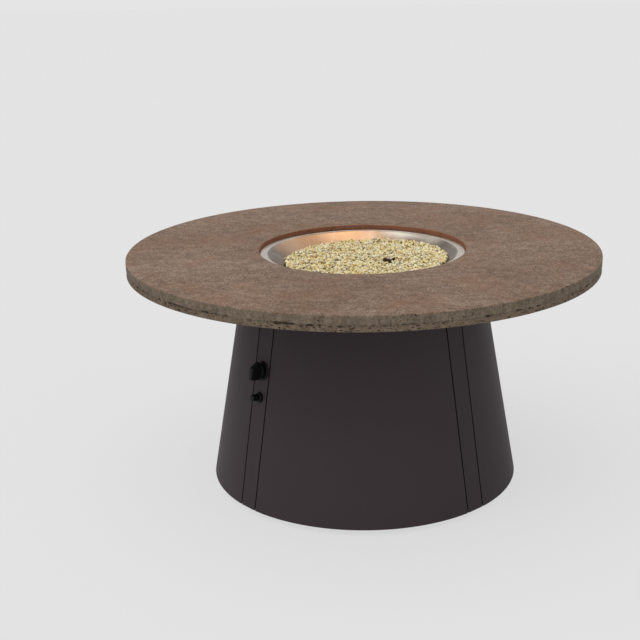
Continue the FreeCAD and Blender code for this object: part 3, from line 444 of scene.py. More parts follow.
def makeBowl(s):
    low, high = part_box("burner_bowl")
    flange = high.x
    wall = s["wall"]
    rim = high.z - wall
    opening = s["opening"]
    flat = s["flat"]
    depth = rim - low.z
    drop = ((opening ** 2 - flat ** 2) / depth + depth) / 2
    big = math.hypot(drop, flat)  # radius of the ball that the dish is a part of
    centre = low.z + drop

    def dish(offset, radius):
        return centre - math.sqrt((big - offset) ** 2 - radius ** 2)

    # the mouth is rounded from the slope of the dish to the level flange
    corner = s["mouthRound"]
    slope = math.asin(opening / big)
    roundMiddle = opening + corner * math.tan(slope / 2)
    dishEnd = roundMiddle - corner * math.sin(slope) - s["mouthLead"]
    roundPlace = (roundMiddle, rim + wall - corner)
    inside = [(s["pipeHole"], low.z + wall)]
    for step in range(s["steps"] + 1):
        radius = flat + (dishEnd - flat) * step / s["steps"]
        inside.append((radius, dish(wall, radius)))
    inside += roundCorner(roundPlace, corner, 90 + math.degrees(slope), 90, s["mouthSteps"])

    # the flange ends in a rolled edge
    bead = s["edgeBead"]
    beadPlace = (flange - bead, rim + bead * s["beadLift"])
    inside.append((flange - 2 * bead, rim + wall))
    inside += roundCorner(beadPlace, bead * s["beadFill"], *s["beadTurn"], s["beadSteps"])
    outside = [(flange - 3 * bead, rim)]
    for step in range(s["steps"] + 1):
        radius = opening - (opening - flat) * step / s["steps"]
        outside.append((radius, dish(0, radius)))
    outside.append((s["pipeHole"], low.z))
    profile = inside + outside
    points = []
    for radius, z in profile:
        for step in range(s["around"]):
            angle = 2 * math.pi * step / s["around"]
            points.append((radius * math.cos(angle), radius * math.sin(angle), z))
    faces = ringFaces(len(profile), s["around"])
    makePiece("burnerBowl", points, faces, steelMaterial(s), "table", ["burner_bowl"])


makeBowl(bowlSet)
print("bowl ready")


# cast stone top: honed face, edge with a broken seam and a pitted lower band
stoneSet = {
    "darkColour": (0.104, 0.065, 0.046),
    "midColour": (0.215, 0.143, 0.099),
    "paleColour": (0.4, 0.3, 0.228),
    "rustColour": (0.26, 0.132, 0.078),
    # painted light: the flame's warm glow on the wall of the hole
    "paintedFlameGlow": (0.26, 0.085, 0.042),
    "edgeDark": (0.096, 0.072, 0.05),
    "edgeMid": (0.18, 0.141, 0.103),
    "edgePale": (0.285, 0.226, 0.172),
    # painted shade in the pits, pinholes and hollows
    "paintedHollowShade": (0.028, 0.021, 0.016),
    "roughness": 0.56,
    "gloss": 0.05,
    # each noise: scale, detail, roughness, distortion
    "cloud": (4.2, 3.0, 0.6, 0.4),
    "drawnOut": (26.0, 5.0, 0.72, 1.0),
    "blotch": (46.0, 5.0, 0.65, 0.3),
    "grain": (190.0, 4.0, 0.85),
    "sand": (420.0, 2.0, 0.7),
    "rust": (7.5, 4.0, 0.6, 0.6),
    "upright": (120.0, 4.0, 0.7),
    "gathered": (15.0, 2.0, 0.5),
    "drawnOutStretch": (0.32, 1.0, 1.0),
    "uprightStretch": (1.0, 1.0, 0.22),
    "pinholeStretch": (1.0, 1.0, 1.6),
    # what each noise adds to the tone, and where the three colours stand on it
    "faceShares": (0.08, 0.1, 0.18, 0.4, 0.24),
    "faceStops": (0.425, 0.5, 0.585),
    "edgeShares": (0.25, 0.15, 0.4, 0.2),
    "edgeStops": (0.41, 0.5, 0.6),
    "rustRange": (0.44, 0.66, 0.0, 0.4),
    "crumbledShare": 0.3,
    "paintedFlameGlowShare": 0.7,
    # spots: scale, size, softness
    "chip": (210.0, 0.1, 0.08),
    "chipShare": 0.45,
    "pit": (105.0, 0.13, 0.1),
    "pitRange": (0.5, 0.58),
    "pinhole": (300.0, 0.14, 0.12),
    "pinholeShares": (0.5, 0.9),  # on the sound edge and where it is crumbled
    "shineBase": 0.08,
    "shineShares": (0.16, 0.4, 0.12),  # blotches, hollows, edge
    "grainRelief": 0.7,
    "bump": (0.55, 0.0014),
    # form
    "around": 1800,
    "sideRows": 26,
    "wallRows": 5,
    "faceRows": 5,
    "bottomRows": 3,
    "holeGap": 0.002,  # between the bowl's flange and the wall of the hole
    "ledgeWidth": 0.012,  # of the sunken ledge that carries the flange
    "edgeRound": 0.0025,
    "topSteps": 4,
    "bottomSteps": 3,
    "holeRound": 0.0015,
    "holeSteps": 3,
    "greySteps": 3,  # points over which the upper corner turns as grey as the edge
    "seamBelowTop": 0.0235,  # height of the broken seam round the edge
    "seamWaver": 0.0024,
    "waverScale": 14.0,
    "seamTrace": 0.3,  # how open the seam is where it is whole
    "seamOpen": 0.34,
    "brokenShare": 1.5,
    "brokenScale": 62.0,
    "stretchShare": 0.8,
    "stretchScale": 8.0,
    "stretchShift": (0, 0, 3),
    "seamHeight": 0.0012,  # half of it where closed, and what an open place adds
    "openHeight": 0.0026,
    "crumbleFade": 0.003,
    "rubbleScale": (170.0, 170.0, 300.0),
    "lowerChips": (0.22, 2.4),  # where chips start in the rubble and how sharply
    "upperChips": (0.56, 2.0),
    "chipStretch": 0.25,
    "hollowBase": 0.8,
    "hollowRubble": 0.7,
    "hollowDepth": 0.0032,
    "lowerSetBack": 0.0007,
    "edgeWander": 0.0007,
    "wanderScale": 26.0,
}


def stoneMaterial(s):
    material, tree, shader = newMaterial(
        "castStone", {"Roughness": s["roughness"], "IOR": 1.5, "Specular IOR Level": s["gloss"]}
    )
    where = objectPlace(tree)
    cloud = noiseNode(tree, where, *s["cloud"])
    drawnOut = noiseNode(tree, stretched(tree, where, s["drawnOutStretch"]), *s["drawnOut"])
    blotch = noiseNode(tree, where, *s["blotch"])
    grain = noiseNode(tree, where, *s["grain"])
    sand = noiseNode(tree, where, *s["sand"])
    tone = weighted(tree, (cloud, drawnOut, blotch, grain, sand), s["faceShares"])
    faceColours = (s["darkColour"], s["midColour"], s["paleColour"])
    colour = rampNode(tree, tone, s["faceStops"], faceColours)
    rust = between(tree, noiseNode(tree, where, *s["rust"]), *s["rustRange"])
    colour = mixColour(tree, rust, colour, s["rustColour"])
    chip = mathNode(tree, "MULTIPLY", spots(tree, where, *s["chip"]), s["chipShare"])
    colour = mixColour(tree, chip, colour, s["paleColour"])

    # the edge is greyer, with upright marks and a paler crumbled band below its seam
    side = attributeOf(tree, "side")
    crumbled = attributeOf(tree, "crumbled")
    upright = noiseNode(tree, stretched(tree, where, s["uprightStretch"]), *s["upright"])
    edgeTone = weighted(tree, (blotch, upright, grain, sand), s["edgeShares"])
    edgeColour = rampNode(tree, edgeTone, s["edgeStops"], (s["edgeDark"], s["edgeMid"], s["edgePale"]))
    paler = mathNode(tree, "MULTIPLY", crumbled, s["crumbledShare"])
    edgeColour = mixColour(tree, paler, edgeColour, s["midColour"])
    colour = mixColour(tree, side, colour, edgeColour)
    # painted light: the wall of the hole takes the flame's warm glow
    holeWall = mathNode(tree, "MULTIPLY", attributeOf(tree, "holeWall"), s["paintedFlameGlowShare"])
    colour = mixColour(tree, holeWall, colour, s["paintedFlameGlow"])

    # pits in loose groups, and pinholes all over, deepest in the crumbled band; these and the seam's
    # hollows are painted dark as painted shade
    gathered = between(tree, noiseNode(tree, where, *s["gathered"]), *s["pitRange"])
    pits = mathNode(tree, "MULTIPLY", spots(tree, where, *s["pit"]), gathered)
    pinholes = spots(tree, stretched(tree, where, s["pinholeStretch"]), *s["pinhole"])
    deeper = between(tree, crumbled, 0.0, 1.0, *s["pinholeShares"])
    pinholes = mathNode(tree, "MULTIPLY", pinholes, deeper)
    hollow = mathNode(tree, "MAXIMUM", pits, pinholes)
    hollow = mathNode(tree, "MAXIMUM", hollow, attributeOf(tree, "hollow"), clamp=True)
    colour = mixColour(tree, hollow, colour, s["paintedHollowShade"])
    tree.links.new(colour, shader.inputs["Base Color"])
    shine = weighted(tree, (blotch, hollow, side), s["shineShares"])
    shine = mathNode(tree, "ADD", s["roughness"] - s["shineBase"], shine)
    tree.links.new(shine, shader.inputs["Roughness"])
    relief = mathNode(tree, "SUBTRACT", mathNode(tree, "MULTIPLY", grain, s["grainRelief"]), hollow)
    tree.links.new(bumpNode(tree, relief, *s["bump"]), shader.inputs["Normal"])
    return material


def stoneProfile(s):
    # radius and height of each point of the slab's section, from the foot of the hole outwards
    low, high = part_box("stone_top")
    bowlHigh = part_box("burner_bowl")[1]
    ledge = bowlHigh.z - bowlSet["wall"]
    hole = bowlHigh.x + s["holeGap"]
    inner = hole - s["ledgeWidth"]
    outer = high.x
    r = s["edgeRound"]
    h = s["holeRound"]
    top = high.z
    bottom = low.z
    points = [(inner, bottom), (inner, ledge), (hole, ledge)]
    points += evenly((hole, ledge), (hole, top - h), s["wallRows"])
    points += roundCorner((hole + h, top - h), h, 180, 90, s["holeSteps"])
    points += evenly((hole + h, top), (outer - r, top), s["faceRows"])
    points += roundCorner((outer - r, top - r), r, 90, 0, s["topSteps"])
    sideStart = len(points) - 1
    points += evenly((outer, top - r), (outer, bottom + r), s["sideRows"])
    sideEnd = len(points)
    points += roundCorner((outer - r, bottom + r), r, 0, -90, s["bottomSteps"])
    points += evenly((outer - r, bottom), (inner, bottom), s["bottomRows"])
    return points, hole, sideStart, sideEnd


def edgeShape(s, place, belowTop):
    # how open the seam and its pits are at a place on the edge, and how far the edge stands back
    around = Vector((place.x, place.y, 0))
    offSeam = belowTop - s["seamBelowTop"] - s["seamWaver"] * noise.noise(around * s["waverScale"])
    stretch = noise.noise(around * s["stretchScale"] + Vector(s["stretchShift"]))
    broken = noise.noise(around * s["brokenScale"])
    opened = limited(s["seamOpen"] + s["brokenShare"] * broken + s["stretchShare"] * stretch)
    halfHeight = s["seamHeight"] + s["openHeight"] * opened
    hollow = max(opened, s["seamTrace"]) * limited(1 - (offSeam / halfHeight) ** 2)
    rubble = noise.noise(Vector([part * scale for part, scale in zip(place, s["rubbleScale"])]))
    crumbled = limited(offSeam / s["crumbleFade"])
    start, sharp = s["lowerChips"]
    chips = limited((rubble - start + s["chipStretch"] * stretch) * sharp) * crumbled
    start, sharp = s["upperChips"]
    chips += limited((rubble - start) * sharp) * (1 - crumbled)
    hollow = limited(hollow * (s["hollowBase"] + s["hollowRubble"] * rubble) + chips)
    back = crumbled * s["lowerSetBack"] + s["edgeWander"] * abs(noise.noise(place * s["wanderScale"]))
    return hollow, crumbled, back


def makeStone(s):
    profile, hole, sideStart, sideEnd = stoneProfile(s)
    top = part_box("stone_top")[1].z
    points = []
    marks = {"hollow": [], "crumbled": [], "side": [], "holeWall": []}
    for index, (radius, z) in enumerate(profile):
        onSide = sideStart <= index <= sideEnd
        onHoleWall = index > 1 and radius < hole + s["holeRound"]  # above the ledge's inner corner
        greyed = limited((index - sideStart) / s["greySteps"] + 1)
        if index == 0:
            greyed = 1.0  # the foot of the hole belongs to the underside
        for step in range(s["around"]):
            angle = 2 * math.pi * step / s["around"]
            out = Vector((math.cos(angle), math.sin(angle), 0))
            place = out * radius
            place.z = z
            hollow = crumbled = back = 0.0
            if onSide:
                hollow, crumbled, back = edgeShape(s, place, top - z)
            points.append(place - out * (hollow * s["hollowDepth"] + back))
            marks["hollow"].append(hollow)
            marks["crumbled"].append(crumbled)
            marks["side"].append(greyed)
            marks["holeWall"].append(float(onHoleWall))
    faces = ringFaces(len(profile), s["around"])
    stone = makePiece("stoneTop", points, faces, stoneMaterial(s), "table", ["stone_top"])
    for name, values in marks.items():
        layer = stone.data.attributes.new(name, "FLOAT", "POINT")
        layer.data.foreach_set("value", values)


makeStone(stoneSet)
print("stone top ready")


# fire glass crumbs, heaped round the burner
glassSet = {
    "seed": 7,
    "spacing": 0.0084,
    "jitter": 0.28,  # how far a crumb strays from its place, in spacings
    "layers": (0.0, -0.0045),
    "layerShift": (0.31, 0.4),  # how far a lower layer is shifted, in spacings
    "spareColumns": 4,
    "size": (0.0037, 0.0062),  # half width of a crumb
    "wide": (0.8, 1.25),
    "deep": (0.7, 1.1),
    "tall": (0.6, 0.95),
    "chipped": (0.72, 1.12),  # how far a crumb's corners stand out
    "turn": (0, 6.28),  # radians
    "sunk": 0.0025,  # how far crumbs sit under the heap's surface
    "uneven": (-0.0018, 0.0026),
    "strays": 90,  # crumbs that lie on the bowl beyond the heap
    "strayInset": 0.008,
    "strayReach": 0.007,
    "straySpread": 1.6,
    "straySize": 0.9,
    "slide": (0.0095, 0.0),  # the heap lies a little to the right of the burner's middle
    "slope": 0.55,
    "pocketDrop": 0.006,
    "hoodRing": (0.012, 0.026),  # how near the hood crumbs lean against it
    "hoodCover": 0.007,
    "hoodLean": (0.3, 1.0),
    "behindHood": 0.4,  # share of the lean at its rear
    "frontStart": 0.003,  # at its front they lean only from this far right of its middle
    "onHood": [(-0.011, -0.001), (-0.008, 0.006), (-0.001, 0.01), (0.007, 0.011)],
    "onHoodLift": 0.6,
    "onHoodSize": 0.85,
    # painted shade in small dark cells of the crumbs
    "paintedShade": (0.17, 0.12, 0.04),
    "olive": (0.72, 0.58, 0.25),
    "amber": (1.0, 0.65, 0.2),
    "champagne": (1.0, 0.77, 0.3),
    "pale": (1.0, 0.9, 0.47),
    # painted glints in small pale cells of the crumbs
    "spark": (1.0, 0.97, 0.75),
    "stops": (0.0, 0.2, 0.42, 0.68, 0.88),
    "cells": 190.0,
    "paintedShadeRange": (0.27, 0.12, 0.0, 0.9),
    "sparkRange": (0.66, 0.8),
    "clear": 0.18,
    "gloss": 0.7,
    "roughness": 0.06,
    "flaw": (420.0, 2.0, 0.6),
    "bump": (0.2, 0.0006),
}


def crumbMaterial(s):
    material, tree, shader = newMaterial(
        "fireGlass",
        {
            "Roughness": s["roughness"],
            "IOR": 1.5,
            "Transmission Weight": s["clear"],
            "Specular IOR Level": s["gloss"],
        },
    )
    island = addNode(tree, "ShaderNodeNewGeometry").outputs["Random Per Island"]
    where = objectPlace(tree)
    colours = (s["amber"], s["olive"], s["champagne"], s["champagne"], s["pale"])
    colour = rampNode(tree, island, s["stops"], colours)
    # painted glints and painted shade: small cells of each crumb painted near white or dark
    cells = addNode(tree, "ShaderNodeTexVoronoi", {"Vector": where, "Scale": s["cells"]})
    spark = addNode(tree, "ShaderNodeSeparateColor", {"Color": cells.outputs["Color"]}).outputs[0]
    colour = mixColour(tree, between(tree, spark, *s["paintedShadeRange"]), colour, s["paintedShade"])
    colour = mixColour(tree, between(tree, spark, *s["sparkRange"]), colour, s["spark"])
    tree.links.new(colour, shader.inputs["Base Color"])
    flaw = noiseNode(tree, where, *s["flaw"])
    tree.links.new(bumpNode(tree, flaw, *s["bump"]), shader.inputs["Normal"])
    return material


golden = (1 + math.sqrt(5)) / 2  # places the corners of an icosahedron
sideSlack = 1.01  # rounding room where the distances of corners are compared
crumbCorners = []
for a in (-1, 1):
    for b in (-golden, golden):
        crumbCorners += [(0, a, b), (a, b, 0), (b, 0, a)]
crumbCorners = [Vector(corner).normalized() for corner in crumbCorners]


def crumbFaces():
    # the triangles of an icosahedron, each of three neighbouring corners
    side = min((a - b).length for a, b in combinations(crumbCorners, 2)) * sideSlack
    faces = []
    for a, b, c in combinations(range(len(crumbCorners)), 3):
        pa, pb, pc = crumbCorners[a], crumbCorners[b], crumbCorners[c]
        if max((pa - pb).length, (pb - pc).length, (pa - pc).length) < side:
            outward = (pb - pa).cross(pc - pa).dot(pa) > 0
            faces.append((a, b, c) if outward else (a, c, b))
    return faces


crumbTriangles = crumbFaces()


def addCrumb(s, draw, place, grow, points, faces):
    size = draw.uniform(*s["size"]) * grow
    aboutZ = Matrix.Rotation(draw.uniform(*s["turn"]), 3, "Z")
    aboutX = Matrix.Rotation(draw.uniform(*s["turn"]), 3, "X")
    turn = aboutZ @ aboutX
    wide = size * draw.uniform(*s["wide"])
    deep = size * draw.uniform(*s["deep"])
    tall = size * draw.uniform(*s["tall"])
    first = len(points)
    for corner in crumbCorners:
        bent = corner * draw.uniform(*s["chipped"])
        points.append(place + turn @ Vector((bent.x * wide, bent.y * deep, bent.z * tall)))
    faces += [tuple(first + corner for corner in face) for face in crumbTriangles]


def heapLevel(s, heap, bowl, heapBox, x, y):
    # the height of the slid heap at a place, or none beyond its edge
    low, high = heapBox
    slideX, slideY = s["slide"]
    inward = high.x - math.hypot(x - slideX, y - slideY)
    if inward < 0:
        return None
    level = heightOn(heap, x - slideX, y - slideY)
    if level is None or level < (high.z + low.z) / 2:
        level = high.z - s["pocketDrop"]  # the pilot's pocket fills up to its surroundings
    ground = heightOn(bowl, x, y)
    if ground is None:
        return level
    resting = ground + s["size"][1]
    return max(min(level, resting + s["slope"] * inward), resting)


def leanOnHood(s, draw, x, y, hoodPlace):
    # how much higher a crumb lies that leans on the hood, behind it or at its front right
    nearest, farthest = s["hoodRing"]
    if not nearest < math.hypot(x - hoodPlace.x, y - hoodPlace.y) < farthest:
        return 0.0
    leaning = s["behindHood"]
    if y < hoodPlace.y:
        leaning = 1.0 if x > hoodPlace.x + s["frontStart"] else 0.0
    return draw.uniform(*s["hoodLean"]) * s["hoodCover"] * leaning


def makeCrumbs(s):
    draw = random.Random(s["seed"])
    heap = surfaceOf("fire_glass")
    bowl = surfaceOf("burner_bowl")
    hoodLow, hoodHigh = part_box("pilot_bracket")
    hoodPlace = (hoodLow + hoodHigh) / 2
    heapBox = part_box("fire_glass")
    edge = heapBox[1].x
    points = []
    faces = []
    spacing = s["spacing"]
    rowStep = spacing * math.sqrt(3) / 2
    rows = int(edge / rowStep) + 1
    columns = rows + s["spareColumns"]
    for layer, drop in enumerate(s["layers"]):
        for row in range(-rows, rows + 1):
            for column in range(-columns, columns + 1):
                x = (column + 0.5 * (row % 2) + s["layerShift"][0] * layer) * spacing
                y = (row + s["layerShift"][1] * layer) * rowStep
                x += draw.uniform(-s["jitter"], s["jitter"]) * spacing
                y += draw.uniform(-s["jitter"], s["jitter"]) * spacing
                z = heapLevel(s, heap, bowl, heapBox, x, y)
                if z is None:
                    continue
                z += leanOnHood(s, draw, x, y, hoodPlace)
                z += drop - s["sunk"] + draw.uniform(*s["uneven"])
                ground = heightOn(bowl, x, y)
                if ground is not None:
                    z = max(z, ground + s["size"][1])
                addCrumb(s, draw, Vector((x, y, z)), 1.0, points, faces)
    for x, y in s["onHood"]:
        height = hoodHigh.z + s["size"][0] * s["onHoodLift"]
        place = Vector((hoodPlace.x + x, hoodPlace.y + y, height))
        addCrumb(s, draw, place, s["onHoodSize"], points, faces)
    for _ in range(s["strays"]):
        angle = draw.uniform(0, 2 * math.pi)
        spread = draw.uniform(0, s["straySpread"]) ** 2 / s["straySpread"]
        radius = edge - s["strayInset"] + s["strayReach"] * spread
        x = s["slide"][0] + radius * math.cos(angle)
        y = s["slide"][1] + radius * math.sin(angle)
        z = heightOn(bowl, x, y) + s["size"][0]
        addCrumb(s, draw, Vector((x, y, z)), s["straySize"], points, faces)
    glass = crumbMaterial(s)
    makePiece(
        "fireGlassCrumbs", points, faces, glass, "table", ["fire_glass"], smooth=False
    )
    print("crumbs:", len(points) // len(crumbCorners))


makeCrumbs(glassSet)


# a floor of crumbs that closes the heap from below, painted darker than the glass as painted shade deep
# in the heap
bedSet = {
    "colour": (0.5, 0.36, 0.15),
    # painted shade at the edges of the chips
    "paintedShade": (0.2, 0.14, 0.055),
    "roughness": 0.3,
    "chips": 150.0,
    "bump": (0.8, 0.003),
    "reach": 0.95,  # share of the heap's radius
    "middle": 0.001,
    "below": 0.009,  # how far it lies under the heap's surface
    "offBowl": 0.0006,
    "floorRadius": 0.1,
    "floorHeight": 0.001,
    "around": 96,
    "rings": 24,
}


def bedMaterial(s):
    material, tree, shader = newMaterial("glassBed", {"Roughness": s["roughness"]})
    chips = addNode(tree, "ShaderNodeTexVoronoi", {"Vector": objectPlace(tree), "Scale": s["chips"]})
    # painted shade: darker towards the edges of the chips
    shade = mixColour(tree, chips.outputs["Distance"], s["colour"], s["paintedShade"])
    tree.links.new(shade, shader.inputs["Base Color"])
    tree.links.new(bumpNode(tree, chips.outputs["Distance"], *s["bump"]), shader.inputs["Normal"])
    return material


def makeBed(s):
    heap = surfaceOf("fire_glass")
    bowl = surfaceOf("burner_bowl")
    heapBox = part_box("fire_glass")
    edge = heapBox[1].x * s["reach"]
    around = s["around"]
    rings = s["rings"]
    points = []
    for ring in range(rings):
        radius = s["middle"] + (edge - s["middle"]) * ring / (rings - 1)
        for step in range(around):
            angle = 2 * math.pi * step / around
            x = glassSet["slide"][0] + radius * math.cos(angle)
            y = glassSet["slide"][1] + radius * math.sin(angle)
            level = heapLevel(glassSet, heap, bowl, heapBox, x, y) - s["below"]
            ground = heightOn(bowl, x, y)
            if ground is not None:
                level = max(level, ground + s["offBowl"])
            points.append((x, y, level))
    floor = heapBox[0].z + s["floorHeight"]
    for step in range(around):
        angle = 2 * math.pi * step / around
        points.append((s["floorRadius"] * math.cos(angle), s["floorRadius"] * math.sin(angle), floor))
    faces = ringFaces(rings + 1, around)
    makePiece("fireGlassBed", points, faces, bedMaterial(s), "table", ())


makeBed(bedSet)
print("fire glass ready")


# finishes for the metal and plastic pieces that keep their solids
coatSet = {
    "colour": (0.0475, 0.0365, 0.0415),
    "dust": (0.0965, 0.078, 0.0845),
    "roughness": 0.55,
    "gloss": 0.11,
    # each noise: scale, detail, roughness
    "peel": (900.0, 2.0, 0.5),
    "cloud": (3.5, 4.0, 0.6),
    "speck": (1900.0, 1.0, 0.5),
    "cloudShare": 0.16,
    "speckRange": (0.45, 0.7, 0.0, 0.3),
    "shineBase": 0.05,
    "shineShare": 0.12,
    "bump": (0.14, 0.0005),
    # painted shade in and beside the seams
    "paintedSeamShade": (0.006, 0.005, 0.006),
    "seamTurn": 45,  # degrees, the posts stand between the axes
    "seamPlace": 0.027,  # from the middle of a post to the seam beside it
    "seamHalf": 0.0012,
    "seamSoft": 0.0011,
}


def coatMaterial(name, s):
    material, tree, shader = newMaterial(
        name, {"Roughness": s["roughness"], "IOR": 1.45, "Specular IOR Level": s["gloss"]}
    )
    where = objectPlace(tree)
    peel = noiseNode(tree, where, *s["peel"])
    cloud = noiseNode(tree, where, *s["cloud"])
    speck = noiseNode(tree, where, *s["speck"])
    colour = mixColour(tree, mathNode(tree, "MULTIPLY", cloud, s["cloudShare"]), s["colour"], s["dust"])
    colour = mixColour(tree, between(tree, speck, *s["speckRange"]), colour, s["dust"])

    # painted shade beside the seams: a seam keeps one distance from the slanting line that joins two
    # posts through the middle
    turned = {"Vector": where, "Rotation": (0, 0, math.radians(s["seamTurn"]))}
    slant = addNode(tree, "ShaderNodeMapping", turned).outputs["Vector"]
    parts = addNode(tree, "ShaderNodeSeparateXYZ", {"Vector": slant})
    sideways = [mathNode(tree, "ABSOLUTE", parts.outputs[axis]) for axis in ("X", "Y")]
    offSeam = mathNode(tree, "SUBTRACT", mathNode(tree, "MINIMUM", *sideways), s["seamPlace"])
    offSeam = mathNode(tree, "ABSOLUTE", offSeam)
    paintedSeamShadeShare = between(tree, offSeam, s["seamHalf"] + s["seamSoft"], s["seamHalf"])
    colour = mixColour(tree, paintedSeamShadeShare, colour, s["paintedSeamShade"])
    tree.links.new(colour, shader.inputs["Base Color"])
    shine = mathNode(tree, "MULTIPLY", cloud, s["shineShare"])
    shine = mathNode(tree, "ADD", s["roughness"] - s["shineBase"], shine)
    tree.links.new(shine, shader.inputs["Roughness"])
    tree.links.new(bumpNode(tree, peel, *s["bump"]), shader.inputs["Normal"])
    return material


metalSet = {
    "cloud": (60.0, 5.0, 0.65),
    "fine": (700.0, 3.0, 0.6),
    "darker": 0.72,
    "shineBase": 0.08,
    "shineShare": 0.18,
    "bump": (0.2, 0.0003),
}


def plainMetal(name, colour, roughness):
    s = metalSet
    material, tree, shader = newMaterial(name, {"Metallic": 1.0, "Roughness": roughness})
    where = objectPlace(tree)
    cloud = noiseNode(tree, where, *s["cloud"])
    fine = noiseNode(tree, where, *s["fine"])
    darker = tuple(channel * s["darker"] for channel in colour)
    tree.links.new(mixColour(tree, cloud, colour, darker), shader.inputs["Base Color"])
    shine = mathNode(tree, "MULTIPLY", cloud, s["shineShare"])
    shine = mathNode(tree, "ADD", roughness - s["shineBase"], shine)
    tree.links.new(shine, shader.inputs["Roughness"])
    tree.links.new(bumpNode(tree, fine, *s["bump"]), shader.inputs["Normal"])
    return material


softSet = {
    "cloud": (30.0, 4.0, 0.6),
    "fine": (3.0, 0.6),  # detail and roughness, each piece has its own scale
    "paler": 1.7,
    "dust": 0.002,
    "cloudShare": 0.6,
    "shineBase": 0.05,
    "shineShare": 0.12,
    "bump": (0.22, 0.0003),
}


def plainSoft(name, colour, roughness, grain, gloss=0.5):
    s = softSet
    material, tree, shader = newMaterial(name, {"Roughness": roughness, "Specular IOR Level": gloss})
    where = objectPlace(tree)
    fine = noiseNode(tree, where, grain, *s["fine"])
    cloud = noiseNode(tree, where, *s["cloud"])
    paler = tuple(min(1.0, channel * s["paler"] + s["dust"]) for channel in colour)
    shade = mixColour(tree, mathNode(tree, "MULTIPLY", cloud, s["cloudShare"]), colour, paler)
    tree.links.new(shade, shader.inputs["Base Color"])
    shine = mathNode(tree, "MULTIPLY", fine, s["shineShare"])
    shine = mathNode(tree, "ADD", roughness - s["shineBase"], shine)
    tree.links.new(shine, shader.inputs["Roughness"])
    tree.links.new(bumpNode(tree, fine, *s["bump"]), shader.inputs["Normal"])
    return material


hoodSet = {
    "brown": (0.026, 0.014, 0.009),
    # the pale colour of the painted highlight on the faces that look up
    "strawAndPaintedLight": (0.72, 0.55, 0.45),
    "paintedTopRange": (1.06, 1.26),
    "shares": (1.0, 0.5),  # how far it faces up, cloud
    "roughness": 0.42,
    "cloud": (180.0, 4.0, 0.6),
    "bump": (0.2, 0.0004),
}


def hoodMaterial(name, s):
    # brown from the fire below, with a painted highlight: the faces that look up are painted pale straw
    material, tree, shader = newMaterial(name, {"Metallic": 1.0, "Roughness": s["roughness"]})
    source = addNode(tree, "ShaderNodeTexCoord")
    facing = addNode(tree, "ShaderNodeSeparateXYZ", {"Vector": source.outputs["Normal"]}).outputs["Z"]
    cloud = noiseNode(tree, source.outputs["Object"], *s["cloud"])
    # painted highlight: faces that look up are painted pale straw
    paintedTopShare = between(tree, weighted(tree, (facing, cloud), s["shares"]), *s["paintedTopRange"])
    tree.links.new(mixColour(tree, paintedTopShare, s["brown"], s["strawAndPaintedLight"]), shader.inputs["Base Color"])
    tree.links.new(bumpNode(tree, cloud, *s["bump"]), shader.inputs["Normal"])
    return material


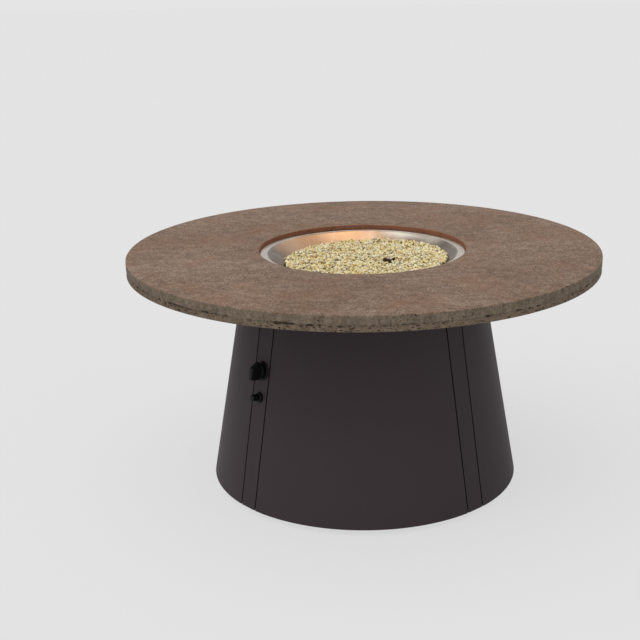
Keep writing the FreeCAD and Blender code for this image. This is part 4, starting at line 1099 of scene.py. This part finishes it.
# for each finish: name, colour, roughness, and for the soft ones the grain's scale and the gloss
finishes = {
    "powder_coat": coatMaterial("powderCoat", coatSet),
    "frame_steel": plainSoft("frameBlack", (0.03, 0.03, 0.03), 0.5, 700.0),
    "zinc_steel": plainMetal("zincPlate", (0.55, 0.56, 0.58), 0.35),
    "stainless": plainMetal("brushedSteel", (0.5, 0.48, 0.45), 0.35),
    "burner_cast": plainSoft("castIron", (0.05, 0.047, 0.045), 0.6, 500.0),
    "brass": plainMetal("turnedBrass", (0.6, 0.42, 0.18), 0.3),
    "tube_aluminium": plainMetal("drawnAluminium", (0.6, 0.6, 0.6), 0.32),
    "valve_aluminium": plainMetal("castAluminium", (0.42, 0.42, 0.42), 0.48),
    "black_plastic": plainSoft("blackPlastic", (0.0035, 0.0035, 0.004), 0.42, 1500.0, 0.16),
    "foot_plastic": plainSoft("footPlastic", (0.016, 0.016, 0.016), 0.5, 900.0),
    "rubber": plainSoft("blackRubber", (0.014, 0.014, 0.014), 0.7, 600.0),
    "magnet": plainSoft("ferrite", (0.05, 0.05, 0.052), 0.5, 800.0),
    "hood_steel": hoodMaterial("heatBrownedSteelPaintedTop", hoodSet),
    "white_ceramic": plainSoft("glazedCeramic", (0.62, 0.6, 0.55), 0.2, 400.0),
    "thermocouple_copper": plainMetal("copper", (0.5, 0.24, 0.13), 0.35),
    "lead_rubber": plainSoft("blackSilicone", (0.02, 0.02, 0.02), 0.5, 700.0),
}
for part in frame["record"]["subparts"]:
    node = frame["nodes"][part["node"]]
    finish = finishes.get(part["material_slot"])
    if finish is None or node.hide_render:
        continue
    node.data.materials.clear()
    node.data.materials.append(finish)
print("finishes set")


# tabs of the base ring that close the seams' lower ends from behind, dark pieces that stand in for the
# shade there
tabSet = {
    "width": 0.012,
    "thickness": 0.0026,
    "proud": 0.0014,  # how far it stands out past the ring's edge
    "aboveEdge": 0.0005,
    "cornerRound": 0.002,
    "cornerSteps": 3,
}


def makeTabs(s):
    ringLow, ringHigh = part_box("base_ring")
    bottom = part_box("front_left_post")[0].z + s["aboveEdge"]
    half = s["width"] / 2
    r = s["cornerRound"]
    outline = [(half, ringLow.z), (-half, ringLow.z)]
    outline += roundCorner((-half + r, bottom + r), r, 180, 270, s["cornerSteps"])
    outline += roundCorner((half - r, bottom + r), r, 270, 360, s["cornerSteps"])
    count = len(outline)
    points = []
    faces = []
    for quarter in range(4):
        angle = math.radians(coatSet["seamTurn"] + 90 * quarter)
        out = Vector((math.cos(angle), math.sin(angle), 0))
        along = Vector((-math.sin(angle), math.cos(angle), 0))
        for side in (-1, 1):
            middle = side * coatSet["seamPlace"]
            reach = math.sqrt(ringHigh.x ** 2 - (abs(middle) + half) ** 2) + s["proud"]
            first = len(points)
            for depth in (reach, reach - s["thickness"]):
                for across, z in outline:
                    points.append(out * depth + along * (middle + across) + Vector((0, 0, z)))
            front = list(range(first, first + count))
            back = list(range(first + count, first + 2 * count))
            faces.append(tuple(front))
            faces.append(tuple(reversed(back)))
            for step in range(count):
                after = (step + 1) % count
                faces.append((front[step], back[step], back[after], front[after]))
    # dark pieces standing in for the shade behind the seams' lower ends
    tabFinish = finishes["frame_steel"]
    makePiece("seamShadeTabs", points, faces, tabFinish, "table", (), smooth=False)


makeTabs(tabSet)
print("seam tabs ready")
